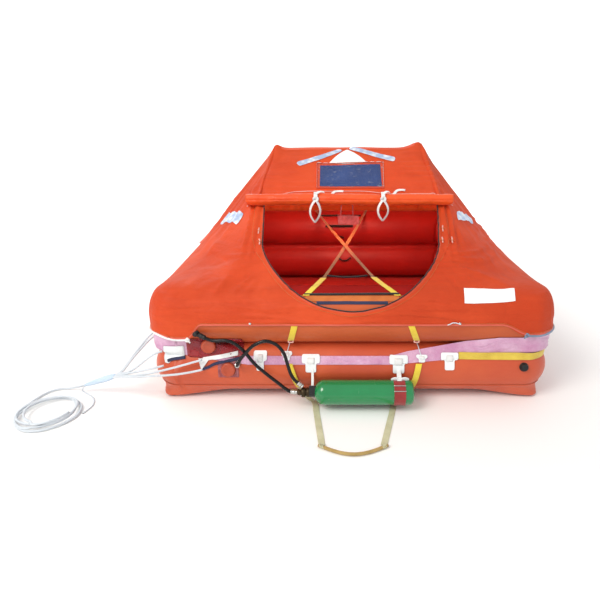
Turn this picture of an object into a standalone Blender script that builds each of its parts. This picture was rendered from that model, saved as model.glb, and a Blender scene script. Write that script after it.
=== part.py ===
# Square four-place inflatable life raft standing on a floor: two stacked buoyancy tubes,
# a tent canopy over one arch tube, a gas cylinder, webbing, hoses and a painter line.
# Metres, +Z up. The origin is the middle of the underside; the door faces -Y.
import math

import bpy
from mathutils import Vector

# Hull
HULL_HALF = 0.850
TUBE_R = 0.115
TUBE_SIDES = 32
AXIS_HALF = HULL_HALF - TUBE_R
LOWER_Z = 0.130
UPPER_Z = 0.3475
CONTACT_Z = (LOWER_Z + UPPER_Z) / 2
CORNER_OUTER = 0.130
CORNER_INNER = 0.020
CORNER_STEPS = 6
GAP = 0.0003

# Floor sheet and the wrap that carries it up the lower tube
FLOOR_THICK = 0.003
FLOOR_EDGE_Z = 0.0115
FLOOR_FLAT_HALF = 0.560
WRAP_IN = TUBE_R + 0.0005
WRAP_OUT = TUBE_R + 0.0027
WRAP_SEAM_DEG = -32.0
FOOT_CORNER = 0.035
FOOT_START = 0.50
FOOT_FULL = 0.68

# Webbing and band lie on the tubes at these radii
SKIN_IN = TUBE_R + 0.0008
SKIN_OUT = TUBE_R + 0.0022
LAYER = 0.0008
PATCH_IN = SKIN_OUT + LAYER
LIFELINE_IN = SKIN_OUT + LAYER + 0.0008
PATCH_THICK = 0.0016
LIFELINE_OUT = LIFELINE_IN + PATCH_THICK
OVER_IN = LIFELINE_OUT + LAYER
CREASE_HALF = AXIS_HALF + 0.0785
CREASE_LIFT = 0.0008
BAND_BOTTOM_Z = 0.205
BAND_TOP_Z = 0.285
BAND_DIP_BOTTOM = 0.035
BAND_DIP_TOP = 0.070
BAND_DIP = ((-0.70, 0.0), (-0.42, 1.0), (0.16, 1.0), (0.60, 0.0))
BAND_STOPS = (-0.70, -0.63, -0.56, -0.49, -0.42, -0.13, 0.16, 0.27, 0.38, 0.49, 0.60, 0.70)
BAND_STEPS = 6
LIFELINE_LOW_Z = 0.190
LIFELINE_HIGH_Z = 0.219
LIFELINE_END = 0.432

# Arch tube in the middle plane
ARCH_R = 0.055
ARCH_CORNER_X = 0.338
ARCH_TOP_Z = 0.871
ARCH_FOOT_X = 0.698
ARCH_FOOT_Z = UPPER_Z + TUBE_R + GAP

# Canopy
CANOPY_THICK = 0.0035
DRAPE_R = TUBE_R + 0.0065
RIDGE_Z = 0.945
RIDGE_SLOPE = 0.628
FOLD_X = 0.365
FOLD_SPREAD = 0.11
SIDE_X = 0.800
SIDE_Z = 0.450
TENT_HALF = AXIS_HALF + DRAPE_R * math.cos(math.radians(45))
HEM_Z = 0.345
HEM_CORNER_Z = 0.296
SEAM_HALF = 0.0002
HORN_LIFT = 0.016

# Door opening, as a curve in the XZ plane
DOOR_HALF_W = 0.378
DOOR_TOP_Z = 0.722
DOOR_KNEE_Z = 0.600
DOOR_BOTTOM_Z = 0.400
DOOR_POWER = 1.6
ROLL_R = 0.025
ROLL_HALF = 0.455
ROLL_Y = -0.360
SIGN_LEFT, SIGN_RIGHT = -0.137, 0.156
SIGN_FRONT, SIGN_BACK = -0.251, -0.116
SIGN_THICK = 0.0012

# Gas cylinder
CYL_R = 0.050
CYL_SIDES = 28
CYL_LEFT = -0.152
CYL_RIGHT = 0.246
CYL_Y = -0.8945
CYL_Z = 0.0725

# Cords
ROPE_D = 0.008
TAIL_D = 0.005
HOSE_D = 0.015
COIL_X, COIL_Y = -1.205, -0.945
COIL_IN, COIL_OUT, COIL_H = 0.092, 0.130, 0.020


def clear_scene():
    for item in list(bpy.data.objects):
        bpy.data.objects.remove(item, do_unlink=True)


def finish(name, color, roughness=0.5, metallic=0.0):
    mat = bpy.data.materials.new(name)
    mat.use_nodes = True
    shader = mat.node_tree.nodes["Principled BSDF"]
    shader.inputs["Base Color"].default_value = (*color, 1.0)
    shader.inputs["Roughness"].default_value = roughness
    shader.inputs["Metallic"].default_value = metallic
    mat.diffuse_color = (*color, 1.0)
    return mat


def make_object(name, points, faces, color, roughness=0.5, metallic=0.0, sharp_deg=35):
    mesh = bpy.data.meshes.new(name)
    mesh.from_pydata([tuple(p) for p in points], [], faces)
    mesh.validate()
    mesh.update()
    mesh.shade_smooth()
    mesh.set_sharp_from_angle(angle=math.radians(sharp_deg))
    mesh.materials.append(finish(name, color, roughness, metallic))
    item = bpy.data.objects.new(name, mesh)
    bpy.context.scene.collection.objects.link(item)
    # A closed solid whose faces point in has a negative volume and is turned round
    volume = 0.0
    for poly in mesh.polygons:
        corner = [mesh.vertices[i].co for i in poly.vertices]
        for a, b in zip(corner[1:-1], corner[2:]):
            volume += corner[0].dot(a.cross(b))
    if volume < 0:
        mesh.flip_normals()
    return item


def grid_solid(name, rows, color, close_rows=False, **look):
    # Rows are closed loops of equal length; the first and last are capped unless closed
    count, width = len(rows), len(rows[0])
    points = [p for row in rows for p in row]
    faces = []
    for r in range(count if close_rows else count - 1):
        s = (r + 1) % count
        for c in range(width):
            d = (c + 1) % width
            faces.append((r * width + c, r * width + d, s * width + d, s * width + c))
    if not close_rows:
        faces.append(tuple(range(width))[::-1])
        faces.append(tuple(range((count - 1) * width, count * width)))
    return make_object(name, points, faces, color, **look)


# Plan shapes
def corner_radius(offset):
    # The hull's corners are tight on the inside of the tube and round on the outside
    share = (offset + TUBE_R) / (2 * TUBE_R)
    return CORNER_INNER + (CORNER_OUTER - CORNER_INNER) * share


def plan_ring(half, radius, stops=(0.0,), front=None):
    # Anticlockwise from the front side; each side gives its stops, then its corner
    corner = []
    for k in range(CORNER_STEPS + 1):
        a = math.radians(-90 + 90 * k / CORNER_STEPS)
        corner.append((half - radius + radius * math.cos(a), -half + radius + radius * math.sin(a)))
    ring = []
    for turn in range(4):
        c, s = round(math.cos(turn * math.pi / 2)), round(math.sin(turn * math.pi / 2))
        along = front if front and turn == 0 else stops
        ring += [(x * c - y * s, x * s + y * c) for x, y in [(u, -half) for u in along] + corner]
    return ring


def tube_ring(name, center_z, color):
    rows = []
    for k in range(TUBE_SIDES):
        a = 2 * math.pi * k / TUBE_SIDES
        offset, z = TUBE_R * math.cos(a), center_z + TUBE_R * math.sin(a)
        if center_z == LOWER_Z:
            z = min(z, CONTACT_Z - GAP / 2)
        else:
            z = max(z, CONTACT_Z + GAP / 2)
        ring = plan_ring(AXIS_HALF + offset, corner_radius(offset))
        rows.append([(x, y, z) for x, y in ring])
    return grid_solid(name, rows, color, close_rows=True, roughness=0.45)


def smooth_step(low, high, value):
    t = min(1.0, max(0.0, (value - low) / (high - low)))
    return t * t * (3 - 2 * t)


def lerp(a, b, t):
    return a + (b - a) * t


def tube_half(z, radius):
    # Half width of the two stacked tubes' outer face at a height
    center = LOWER_Z if z < CONTACT_Z else UPPER_Z
    return AXIS_HALF + math.sqrt(max(0.0, radius ** 2 - (z - center) ** 2))


def floor_wrap():
    stops = (-0.62, -0.56, -0.50, -0.25, 0.0, 0.25, 0.50, 0.56, 0.62)
    steps = 8
    loop = []
    for k in range(steps + 1):
        loop.append(("in", math.radians(lerp(WRAP_SEAM_DEG, -90, k / steps))))
    for k in range(steps, -1, -1):
        loop.append(("out", math.radians(lerp(WRAP_SEAM_DEG, -90, k / steps))))
    rows = []
    for side, a in loop:
        radius = WRAP_IN if side == "in" else WRAP_OUT
        offset, z = radius * math.cos(a), LOWER_Z + radius * math.sin(a)
        ring = plan_ring(AXIS_HALF + offset, corner_radius(offset), stops)
        row = [(x, y, z) for x, y in ring]
        if side == "out":
            # Towards each corner the round section turns into a square foot
            depth = smooth_step(math.radians(-WRAP_SEAM_DEG), math.radians(62), -a)
            foot_offset = WRAP_OUT * math.sqrt(abs(math.cos(a))) * 0.92
            foot_offset = max(offset, foot_offset)
            foot_z = LOWER_Z - LOWER_Z * math.sqrt(abs(math.sin(a)))
            foot_radius = lerp(corner_radius(offset), FOOT_CORNER, depth)
            foot = plan_ring(AXIS_HALF + foot_offset, foot_radius, stops)
            row = []
            for (x, y), (fx, fy) in zip(ring, foot):
                t = depth * smooth_step(FOOT_START, FOOT_FULL, min(abs(x), abs(y)))
                row.append((lerp(x, fx, t), lerp(y, fy, t), lerp(z, min(foot_z, z), t)))
        rows.append(row)
    return grid_solid("floor_wrap", rows, (0.52, 0.10, 0.025), close_rows=True, roughness=0.5)


def floor_sheet():
    # A loose sheet: flat on the ground in the middle, held up at the tubes
    edge = AXIS_HALF - GAP
    levels = [(FLOOR_FLAT_HALF, 0.0, 0.05), (0.66, 0.004, 0.06), (edge, FLOOR_EDGE_Z, corner_radius(0) - GAP)]
    rows = []
    for half, z, radius in levels:
        rows.append([(x, y, z) for x, y in plan_ring(half, radius)])
    for half, z, radius in levels[::-1]:
        rows.append([(x, y, z + FLOOR_THICK) for x, y in plan_ring(half, radius)])
    return grid_solid("floor_sheet", rows, (0.30, 0.03, 0.02), roughness=0.6)


def band_profile(x, y):
    # The band hangs low in the middle of the front, as it does with the cylinder's pull
    dip = 0.0
    if y < -AXIS_HALF:
        for (x0, d0), (x1, d1) in zip(BAND_DIP, BAND_DIP[1:]):
            if x0 <= x <= x1:
                dip = lerp(d0, d1, (x - x0) / (x1 - x0))
    return BAND_BOTTOM_Z - BAND_DIP_BOTTOM * dip, BAND_TOP_Z - BAND_DIP_TOP * dip


def strip_half(z, low, high, radius):
    # A strip over the crease between the tubes runs straight from edge to edge
    top = max(tube_half(high, radius), CREASE_HALF + radius - TUBE_R)
    chord = lerp(tube_half(low, radius), top, (z - low) / (high - low))
    return max(chord, tube_half(z, radius))


def band_point(x, y, share, radius):
    low, high = band_profile(x, y)
    z = lerp(low, high, share)
    return z, strip_half(z, low, high, radius)


def skin_half(x, y, z, radius, bare=None):
    # Half width at a height of what lies on the band where there is band, else on the tubes
    ends, t = (x, x), 0.0
    if y < -AXIS_HALF:
        for x0, x1 in zip(BAND_STOPS, BAND_STOPS[1:]):
            if x0 <= x <= x1:
                ends, t = (x0, x1), (x - x0) / (x1 - x0)
    below = None
    for k in range(BAND_STEPS + 1):
        (z0, half0), (z1, half1) = (band_point(end, y, k / BAND_STEPS, radius) for end in ends)
        point = lerp(z0, z1, t), lerp(half0, half1, t)
        if below and below[0] <= z <= point[0]:
            chord = lerp(below[1], point[1], (z - below[0]) / (point[0] - below[0]))
            return max(chord, tube_half(z, radius))
        below = point
    return tube_half(z, bare or radius)


def fascia_band():
    shares = [(k / BAND_STEPS, SKIN_OUT) for k in range(BAND_STEPS + 1)]
    shares += [(k / BAND_STEPS, SKIN_IN) for k in range(BAND_STEPS, -1, -1)]
    base = plan_ring(HULL_HALF, CORNER_OUTER, front=BAND_STOPS)
    rows = []
    for share, radius in shares:
        row = []
        for i, (bx, by) in enumerate(base):
            z, half = band_point(bx, by, share, radius)
            x, y = plan_ring(half, corner_radius(half - AXIS_HALF), front=BAND_STOPS)[i]
            row.append((x, y, z))
        rows.append(row)
    return grid_solid("fascia_band", rows, (0.68, 0.36, 0.58), close_rows=True, roughness=0.55)


def lifeline():
    stops = (-LIFELINE_END, LIFELINE_END)
    front = (LIFELINE_END,) + tuple(x for x in BAND_STOPS if x > LIFELINE_END)
    side = len(stops) + CORNER_STEPS + 1
    last = len(front) + CORNER_STEPS + 1 + 2 * side + 1
    rows = []
    for i in range(last + 1):
        row = []
        outer = [(k / 4, LIFELINE_OUT) for k in range(5)]
        inner = [(k / 4, LIFELINE_IN) for k in range(4, -1, -1)]
        for share, radius in outer + inner:
            z = lerp(LIFELINE_LOW_Z, LIFELINE_HIGH_Z, share)
            half = skin_half(*plan_ring(HULL_HALF, CORNER_OUTER, stops, front)[i], z, radius)
            x, y = plan_ring(half, corner_radius(half - AXIS_HALF), stops, front)[i]
            row.append((x, y, z))
        rows.append(row)
    return grid_solid("lifeline_webbing", rows, (0.80, 0.55, 0.06), roughness=0.7)


# Flat pieces that lie on the tubes' front
def bridged_half(x, y, z, radius):
    # As the skin, but pulled straight over the crease between the tubes
    return max(skin_half(x, y, z, radius), CREASE_HALF + CREASE_LIFT + radius - TUBE_R)


def front_patch(name, rows, inner, color, turn=0.0, surface=skin_half):
    # Each row is (z, left x, ... right x), listed from the top down
    side_y = HULL_HALF if turn else -HULL_HALF
    loops = []
    for z, *xs in rows:
        front = [(x, -surface(x, side_y, z, inner + PATCH_THICK), z) for x in xs]
        back = [(x, -surface(x, side_y, z, inner), z) for x in xs]
        loops.append(front + back[::-1])
    item = grid_solid(name, loops, color, roughness=0.6)
    item.rotation_euler = (0, 0, math.radians(turn))
    return item


def t_rows(x, top, bottom, wide, narrow):
    # A wide head over a narrow tab, with a short taper between them
    neck = top - 0.45 * (top - bottom)
    step = 0.004
    levels = [(top, wide), ((top + neck) / 2, wide), (neck, wide), (neck - step, narrow),
              ((neck + bottom) / 2, narrow), (bottom, narrow)]
    return [(z, x - width / 2, x, x + width / 2) for z, width in levels]


def patches():
    white = (0.86, 0.90, 0.90)
    # name, centre x, top z, bottom z, head width, tab width
    table = [
        ("patch_hose", -0.370, 0.216, 0.146, 0.054, 0.030),
        ("patch_boarding_left", -0.263, 0.214, 0.184, 0.044, 0.026),
        ("patch_cylinder_left", -0.165, 0.205, 0.139, 0.073, 0.043),
        ("patch_cylinder_right", 0.190, 0.203, 0.135, 0.075, 0.046),
        ("patch_boarding_right", 0.284, 0.206, 0.177, 0.046, 0.026),
        ("patch_lifeline_front", 0.396, 0.216, 0.148, 0.070, 0.039),
    ]
    for name, x, top, bottom, wide, narrow in table:
        front_patch(name, t_rows(x, top, bottom, wide, narrow), PATCH_IN, white)
    for side, turn in (("right", 90), ("rear", 180), ("left", -90)):
        for place, x in (("a", -LIFELINE_END), ("b", LIFELINE_END)):
            rows = t_rows(x, 0.226, 0.158, 0.070, 0.039)
            front_patch(f"patch_{side}_{place}", rows, OVER_IN, white, turn)
    # The bridle's patch runs to a pointed tab
    rows = [(0.250, -0.756, -0.702, -0.674),
            (0.230, -0.757, -0.702, -0.675),
            (0.205, -0.760, -0.702, -0.676),
            (0.194, -0.762, -0.702, -0.680),
            (0.186, -0.762, -0.740, -0.722),
            (0.172, -0.756, -0.748, -0.740)]
    front_patch("patch_bridle", rows, PATCH_IN, white)
    columns = (-0.664, -0.630, -0.595, -0.560, -0.525, -0.490, -0.455, -0.440)
    rows = [(z, *columns) for z in (0.280, 0.266, 0.252, 0.238, 0.224, 0.210, 0.196)]
    front_patch("inflation_cover", rows, PATCH_IN, (0.50, 0.05, 0.04), surface=bridged_half)


def boarding_straps():
    # rows of (z, left x, right x) from the canopy's hem to the patch below
    yellow = (0.90, 0.72, 0.08)
    half = 0.0125
    for name, top_x, clip_x, end_x in (("boarding_strap_left", -0.228, -0.246, -0.262),
                                       ("boarding_strap_right", 0.234, 0.262, 0.282)):
        rows = []
        for z in (0.340, 0.322, 0.304, 0.286, 0.268):
            x = lerp(top_x, clip_x, (0.340 - z) / 0.072)
            rows.append((z, x - half, x + half))
        rows.append((0.262, clip_x - 0.004, clip_x + 0.004))
        for z in (0.256, 0.249, 0.242, 0.235, 0.228, 0.222, 0.2165):
            x = lerp(clip_x, end_x, (0.262 - z) / 0.0455)
            rows.append((z, x - 0.0035, x + 0.0035))
        strap_rows(name, rows, yellow)


def strap_rows(name, rows, color):
    # The strap follows the upper tube, then runs straight over the crease to the lower one
    knee, low = 0.262, rows[-1][0]
    loops = []
    for z, left, right in rows:
        halves = []
        for radius in (SKIN_IN + PATCH_THICK, SKIN_IN):
            half = tube_half(z, radius)
            if z < knee:
                share = (z - low) / (knee - low)
                half = lerp(tube_half(low, radius), tube_half(knee, radius), share)
                over = radius + PATCH_IN - SKIN_IN
                half = max([half] + [bridged_half(x, -HULL_HALF, z, over) for x in (left, right)])
            halves.append(half)
        outer, inner = halves
        loops.append([(left, -outer, z), (right, -outer, z), (right, -inner, z), (left, -inner, z)])
    return grid_solid(name, loops, color, roughness=0.65)


def strip_solid(name, stations, color, **look):
    # A station is (centre, half width vector, half thickness vector)
    rows = []
    for center, side, out in stations:
        c, s, n = Vector(center), Vector(side), Vector(out)
        rows.append([c - s + n, c + s + n, c + s - n, c - s - n])
    return grid_solid(name, rows, color, **look)


def strap_run(name, points, half_w, half_t, color):
    # A flat strap along points whose path keeps near the YZ plane
    pts = [Vector(p) for p in points]
    stations = []
    for k, p in enumerate(pts):
        along = pts[min(k + 1, len(pts) - 1)] - pts[max(k - 1, 0)]
        normal = Vector((0, along.z, -along.y)).normalized()
        stations.append((p, (half_w, 0, 0), normal * half_t))
    strip_solid(name, stations, color, roughness=0.75)


def stirrup():
    half_w, half_t = 0.0125, 0.0009
    run = TUBE_R + 0.0050
    # name, x at the tube's front, x under the tube, x at the bar
    table = [("stirrup_strap_left", -0.252, -0.205, -0.150, -0.116),
             ("stirrup_strap_right", 0.272, 0.244, 0.178, 0.109)]
    # Off the tube's underside and forward along the floor: (y, z)
    off_tube = ((-0.8170, 0.0260), (-0.8250, 0.0125), (-0.8400, 0.0045), (-0.8600, 0.0016))
    along_floor = ((-0.9300, 0.0012), (-1.0000, 0.0012), (-1.0700, 0.0012), (-1.1320, 0.0014),
                   (-1.1394, 0.0050))
    angles = (22, 10, -2, -14, -26, -38, -50)
    for name, x_top, x_low, x_floor, x_bar in table:
        points = []
        for k, deg in enumerate(angles):
            a = math.radians(deg)
            x = lerp(x_top, x_low, k / (len(angles) - 1))
            points.append((x, -AXIS_HALF - run * math.cos(a), LOWER_Z + run * math.sin(a)))
        for k, (y, z) in enumerate(off_tube):
            points.append((lerp(x_low, x_floor, k / 3), y, z))
        for y, z in along_floor:
            points.append((lerp(x_floor, x_bar, (y + 0.86) / -0.28), y, z))
        strap_run(name, points, half_w, half_t, (0.64, 0.62, 0.42))
    # The bar is a stiffened tube of webbing that bows away from the raft
    rows = []
    steps = 14
    for k in range(steps + 1):
        t = k / steps
        x = lerp(-0.128, 0.122, t)
        y = -1.1462 - 0.050 * math.sin(math.pi * t)
        rows.append([(x, y + 0.0065 * math.cos(a), 0.0070 + 0.0065 * math.sin(a))
                     for a in (2 * math.pi * j / 10 for j in range(10))])
    grid_solid("stirrup_bar", rows, (0.45, 0.32, 0.12), roughness=0.7)


def revolve_x(name, profile, y, z, color, sides=24, **look):
    rows = []
    for x, radius in profile:
        rows.append([(x, y + radius * math.cos(2 * math.pi * k / sides),
                      z + radius * math.sin(2 * math.pi * k / sides)) for k in range(sides)])
    return grid_solid(name, rows, color, **look)


def gas_cylinder():
    dome = 0.042
    profile = [(CYL_LEFT, 0.013)]
    for k in range(6):
        a = math.radians(18 + 72 * k / 5)
        profile.append((CYL_LEFT + dome * (1 - math.cos(a)), CYL_R * math.sin(a)))
    for k in range(5):
        a = math.radians(90 * k / 4)
        profile.append((CYL_RIGHT - 0.016 + 0.016 * math.sin(a), CYL_R - 0.016 + 0.016 * math.cos(a)))
    revolve_x("gas_cylinder", profile, CYL_Y, CYL_Z, (0.02, 0.30, 0.07), sides=CYL_SIDES, roughness=0.3)
    valve = [(CYL_LEFT - GAP, 0.0125), (CYL_LEFT - 0.012, 0.0125), (CYL_LEFT - 0.0121, 0.020),
             (CYL_LEFT - 0.050, 0.020), (CYL_LEFT - 0.0501, 0.012), (CYL_LEFT - 0.066, 0.012)]
    bronze = (0.10, 0.09, 0.08)
    revolve_x("cylinder_valve", valve, CYL_Y, CYL_Z, bronze, sides=16, roughness=0.35, metallic=0.8)
    # A red strap round the cylinder with its ends up at the patch
    rows = []
    inner, outer = CYL_R + GAP, CYL_R + 0.0025
    for k in range(CYL_SIDES):
        a = 2 * math.pi * k / CYL_SIDES
        ring = []
        for x, r in ((0.166, outer), (0.211, outer), (0.211, inner), (0.166, inner)):
            ring.append((x, CYL_Y + r * math.cos(a), CYL_Z + r * math.sin(a)))
        rows.append(ring)
    grid_solid("cylinder_band", rows, (0.35, 0.02, 0.02), close_rows=True, roughness=0.6)
    # Hangers from the patches to the neck strap and the band
    top_y = -tube_half(0.1375, LIFELINE_OUT) - 0.0020
    for name, x, low_z, width in (("cylinder_hanger_left", CYL_LEFT - 0.006, CYL_Z + 0.0135, 0.005),
                                  ("cylinder_hanger_right", 0.189, CYL_Z + CYL_R + 0.0036, 0.016)):
        middle = (x, lerp(top_y, CYL_Y, 0.5), lerp(0.150, low_z, 0.45))
        points = [(x, top_y, 0.180), (x, top_y - 0.001, 0.150), middle, (x, CYL_Y + 0.002, low_z + 0.0006),
                  (x, CYL_Y - 0.004, low_z)]
        strap_run(name, points, width, 0.0007, (0.85, 0.88, 0.88))


# Canopy
def tent_height(x, y):
    reach = AXIS_HALF + 0.061
    share = min(1.0, abs(y) / reach)
    ridge = RIDGE_Z - RIDGE_SLOPE * abs(y)
    fold = FOLD_X + FOLD_SPREAD * abs(y)
    height = ridge
    if abs(x) > fold:
        height = ridge + (abs(x) - fold) / (SIDE_X - fold) * (SIDE_Z - ridge)
    horn = HORN_LIFT * math.exp(-((abs(x) - FOLD_X) / 0.030) ** 2 - (y / 0.050) ** 2)
    return height + horn * (1 - share)


def offset_at(x, y):
    # Distance outward from the tube's centre line, by halving
    low, high = -0.9 * TUBE_R, DRAPE_R + 0.02
    for _ in range(30):
        mid = (low + high) / 2
        half, radius = AXIS_HALF + mid, corner_radius(mid)
        px, py = abs(x) - (half - radius), abs(y) - (half - radius)
        inside = math.hypot(max(px, 0), max(py, 0)) + min(max(px, py), 0) < radius
        low, high = (low, mid) if inside else (mid, high)
    return (low + high) / 2


def drape_height(x, y):
    offset = offset_at(x, y)
    if abs(offset) > DRAPE_R or offset < -0.8 * TUBE_R:
        return -1.0
    return UPPER_Z + math.sqrt(DRAPE_R ** 2 - offset ** 2)


def round_corner(x, y, half, radius):
    px, py = abs(x) - (half - radius), abs(y) - (half - radius)
    if px > 0 and py > 0:
        k = max(px, py) / math.hypot(px, py)
        x = math.copysign(half - radius + px * k, x)
        y = math.copysign(half - radius + py * k, y)
    return x, y


MIDDLE = (-1.0, -0.75, -0.5, -0.25, 0.0, 0.25, 0.5, 0.75, 1.0)
OUTER = (0.09, 0.24, 0.40, 0.56, 0.70, 0.82, 0.91, 1.0)
ROWS = (0.0, 0.05, 0.14, 0.26, 0.38, 0.50, 0.60, 0.68, 0.735, 0.780, TENT_HALF)


def column_x(col, y):
    # Columns -8..-1 lie left of the fold, 0..8 across the middle, 9..16 right of it
    fold = FOLD_X + FOLD_SPREAD * min(abs(y), 0.8)
    if 0 <= col <= 8:
        return MIDDLE[col] * fold
    share = OUTER[-col - 1] if col < 0 else OUTER[col - 9]
    return math.copysign(fold + share * (TENT_HALF - fold), col)


def canopy_sheets():
    # Points of the whole cover by (column, row); rows run from front to back
    cols = list(range(-8, 17))
    rows = [-y for y in ROWS[:0:-1]] + list(ROWS)
    top = {}
    radius = corner_radius(TENT_HALF - AXIS_HALF)
    for c in cols:
        for r, y in enumerate(rows):
            px, py = round_corner(column_x(c, y), y, TENT_HALF, radius)
            top[c, r] = Vector((px, py, max(tent_height(px, py), drape_height(px, py))))
    quads = [[(c, r), (d, r), (d, r + 1), (c, r + 1)]
             for c, d in zip(cols, cols[1:]) for r in range(len(rows) - 1)]
    # The skirt carries on from the tent's edge, over the tube and down to the hem
    last = len(rows) - 1
    edge = [(c, 0) for c in cols] + [(cols[-1], r) for r in range(1, last + 1)]
    edge += [(c, last) for c in cols[-2::-1]] + [(cols[0], r) for r in range(last - 1, 0, -1)]
    flat = {}
    for c, r in edge:
        flat[c, r] = (column_x(c, rows[r]) / TENT_HALF, rows[r] / TENT_HALF)
    levels = [30.0, 15.0, 0.0, None]
    for k, deg in enumerate(levels):
        a = math.radians(deg or 0.0)
        offset = DRAPE_R * math.cos(a)
        half = AXIS_HALF + offset
        for key in edge:
            fx, fy = flat[key]
            px, py = round_corner(fx * half, fy * half, half, corner_radius(offset))
            z = UPPER_Z + DRAPE_R * math.sin(a)
            if deg is None:
                dip = smooth_step(0.60, 0.78, min(abs(px), abs(py)))
                z = lerp(HEM_Z, HEM_CORNER_Z, dip)
            top[key, k] = Vector((px, py, z))
        for i, key in enumerate(edge):
            after = edge[(i + 1) % len(edge)]
            upper = (key, after) if k == 0 else ((key, k - 1), (after, k - 1))
            quads.append([upper[1], upper[0], (key, k), (after, k)])
    # Inner face: offset along the averaged normals, and drawn in to the tube at the hem
    normal = {key: Vector() for key in top}
    for quad in quads:
        a, b, c, d = (top[k] for k in quad)
        n = (c - a).cross(d - b)
        for k in quad:
            normal[k] += n
    under = {}
    for key, point in top.items():
        n = normal[key].normalized()
        if n.z < -0.2:
            n = -n
        inner = point - n * CANOPY_THICK
        if isinstance(key[1], int) and isinstance(key[0], tuple) and key[1] >= 2:
            if min(abs(point.x), abs(point.y)) < 0.66:
                inner = point.copy()
                if abs(point.x) > abs(point.y):
                    inner.x = math.copysign(HULL_HALF + GAP, point.x)
                else:
                    inner.y = math.copysign(HULL_HALF + GAP, point.y)
        under[key] = inner
    return top, under, quads, rows


def column_of(key):
    return key[0][0] if isinstance(key[0], tuple) else key[0]


def row_of(key):
    return key[0][1] if isinstance(key[0], tuple) else key[1]


def canopy_panel(name, sheets, keep, seam_cols, seam_row, color):
    top, under, quads, rows = sheets
    chosen = [q for q in quads if keep(q)]
    used = sorted({k for q in chosen for k in q}, key=str)
    index = {k: i for i, k in enumerate(used)}
    middle = Vector()
    for k in used:
        middle += top[k] / len(used)

    def placed(point, key):
        # Seam edges draw back so that neighbouring panels keep a hairline between them
        moved = point.copy()
        if column_of(key) in seam_cols:
            moved.x += math.copysign(SEAM_HALF, middle.x - moved.x)
        if seam_row is not None and row_of(key) == seam_row:
            moved.y += math.copysign(SEAM_HALF, middle.y - moved.y)
        return moved

    points = [placed(top[k], k) for k in used] + [placed(under[k], k) for k in used]
    count = len(used)
    faces, seen = [], {}
    for quad in chosen:
        ids = [index[k] for k in quad]
        a, b, c, d = (top[k] for k in quad)
        # Both faces of the cloth fold along the same diagonal, so that they stay apart
        if (a - c).length <= (b - d).length:
            halves = (ids[:3], [ids[2], ids[3], ids[0]])
        else:
            halves = (ids[1:], [ids[3], ids[0], ids[1]])
        for half in halves:
            faces.append(tuple(half))
            faces.append(tuple(i + count for i in half[::-1]))
        for a, b in zip(ids, ids[1:] + ids[:1]):
            seen[a, b] = True
    for a, b in seen:
        if (b, a) not in seen:
            faces.append((b, a, a + count, b + count))
    return make_object(name, points, faces, color, roughness=0.55, sharp_deg=50)


def door_outline():
    # Anticlockwise in XZ from the top right corner: straight jambs and a bowl-shaped sill
    points = [(DOOR_HALF_W, DOOR_TOP_Z), (-DOOR_HALF_W, DOOR_TOP_Z)]
    steps = 24
    for k in range(steps + 1):
        a = math.pi * k / steps
        x = -DOOR_HALF_W * math.copysign(abs(math.cos(a)) ** (2 / DOOR_POWER), math.cos(a))
        z = DOOR_KNEE_Z - (DOOR_KNEE_Z - DOOR_BOTTOM_Z) * math.sin(a) ** (2 / DOOR_POWER)
        points.append((x, z))
    return points


def canopy():
    sheets = canopy_sheets()
    middle_row = (len(sheets[3]) - 1) // 2
    orange, orange_side = (0.82, 0.115, 0.030), (0.78, 0.105, 0.030)

    def in_cols(low, high):
        return lambda q: all(low <= column_of(k) <= high for k in q)

    front = canopy_panel("canopy_door_panel", sheets,
                         lambda q: in_cols(0, 8)(q) and all(row_of(k) <= middle_row for k in q),
                         (0, 8), middle_row, orange)
    canopy_panel("canopy_rear_panel", sheets,
                 lambda q: in_cols(0, 8)(q) and all(row_of(k) >= middle_row for k in q),
                 (0, 8), middle_row, orange)
    canopy_panel("canopy_left_panel", sheets, in_cols(-8, 0), (0,), None, orange_side)
    canopy_panel("canopy_right_panel", sheets, in_cols(8, 16), (8,), None, orange_side)
    outline = door_outline()
    rows = [[(x, y, z) for x, z in outline] for y in (-1.05, -0.15)]
    cutter = grid_solid("door_cutter", rows, (0.5, 0.5, 0.5))
    cutter.hide_render = True
    cutter.display_type = "WIRE"
    cut = front.modifiers.new("door", "BOOLEAN")
    cut.operation = "DIFFERENCE"
    cut.object = cutter
    cut.solver = "EXACT"


def roof_z(y):
    return RIDGE_Z - RIDGE_SLOPE * abs(y)


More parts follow.
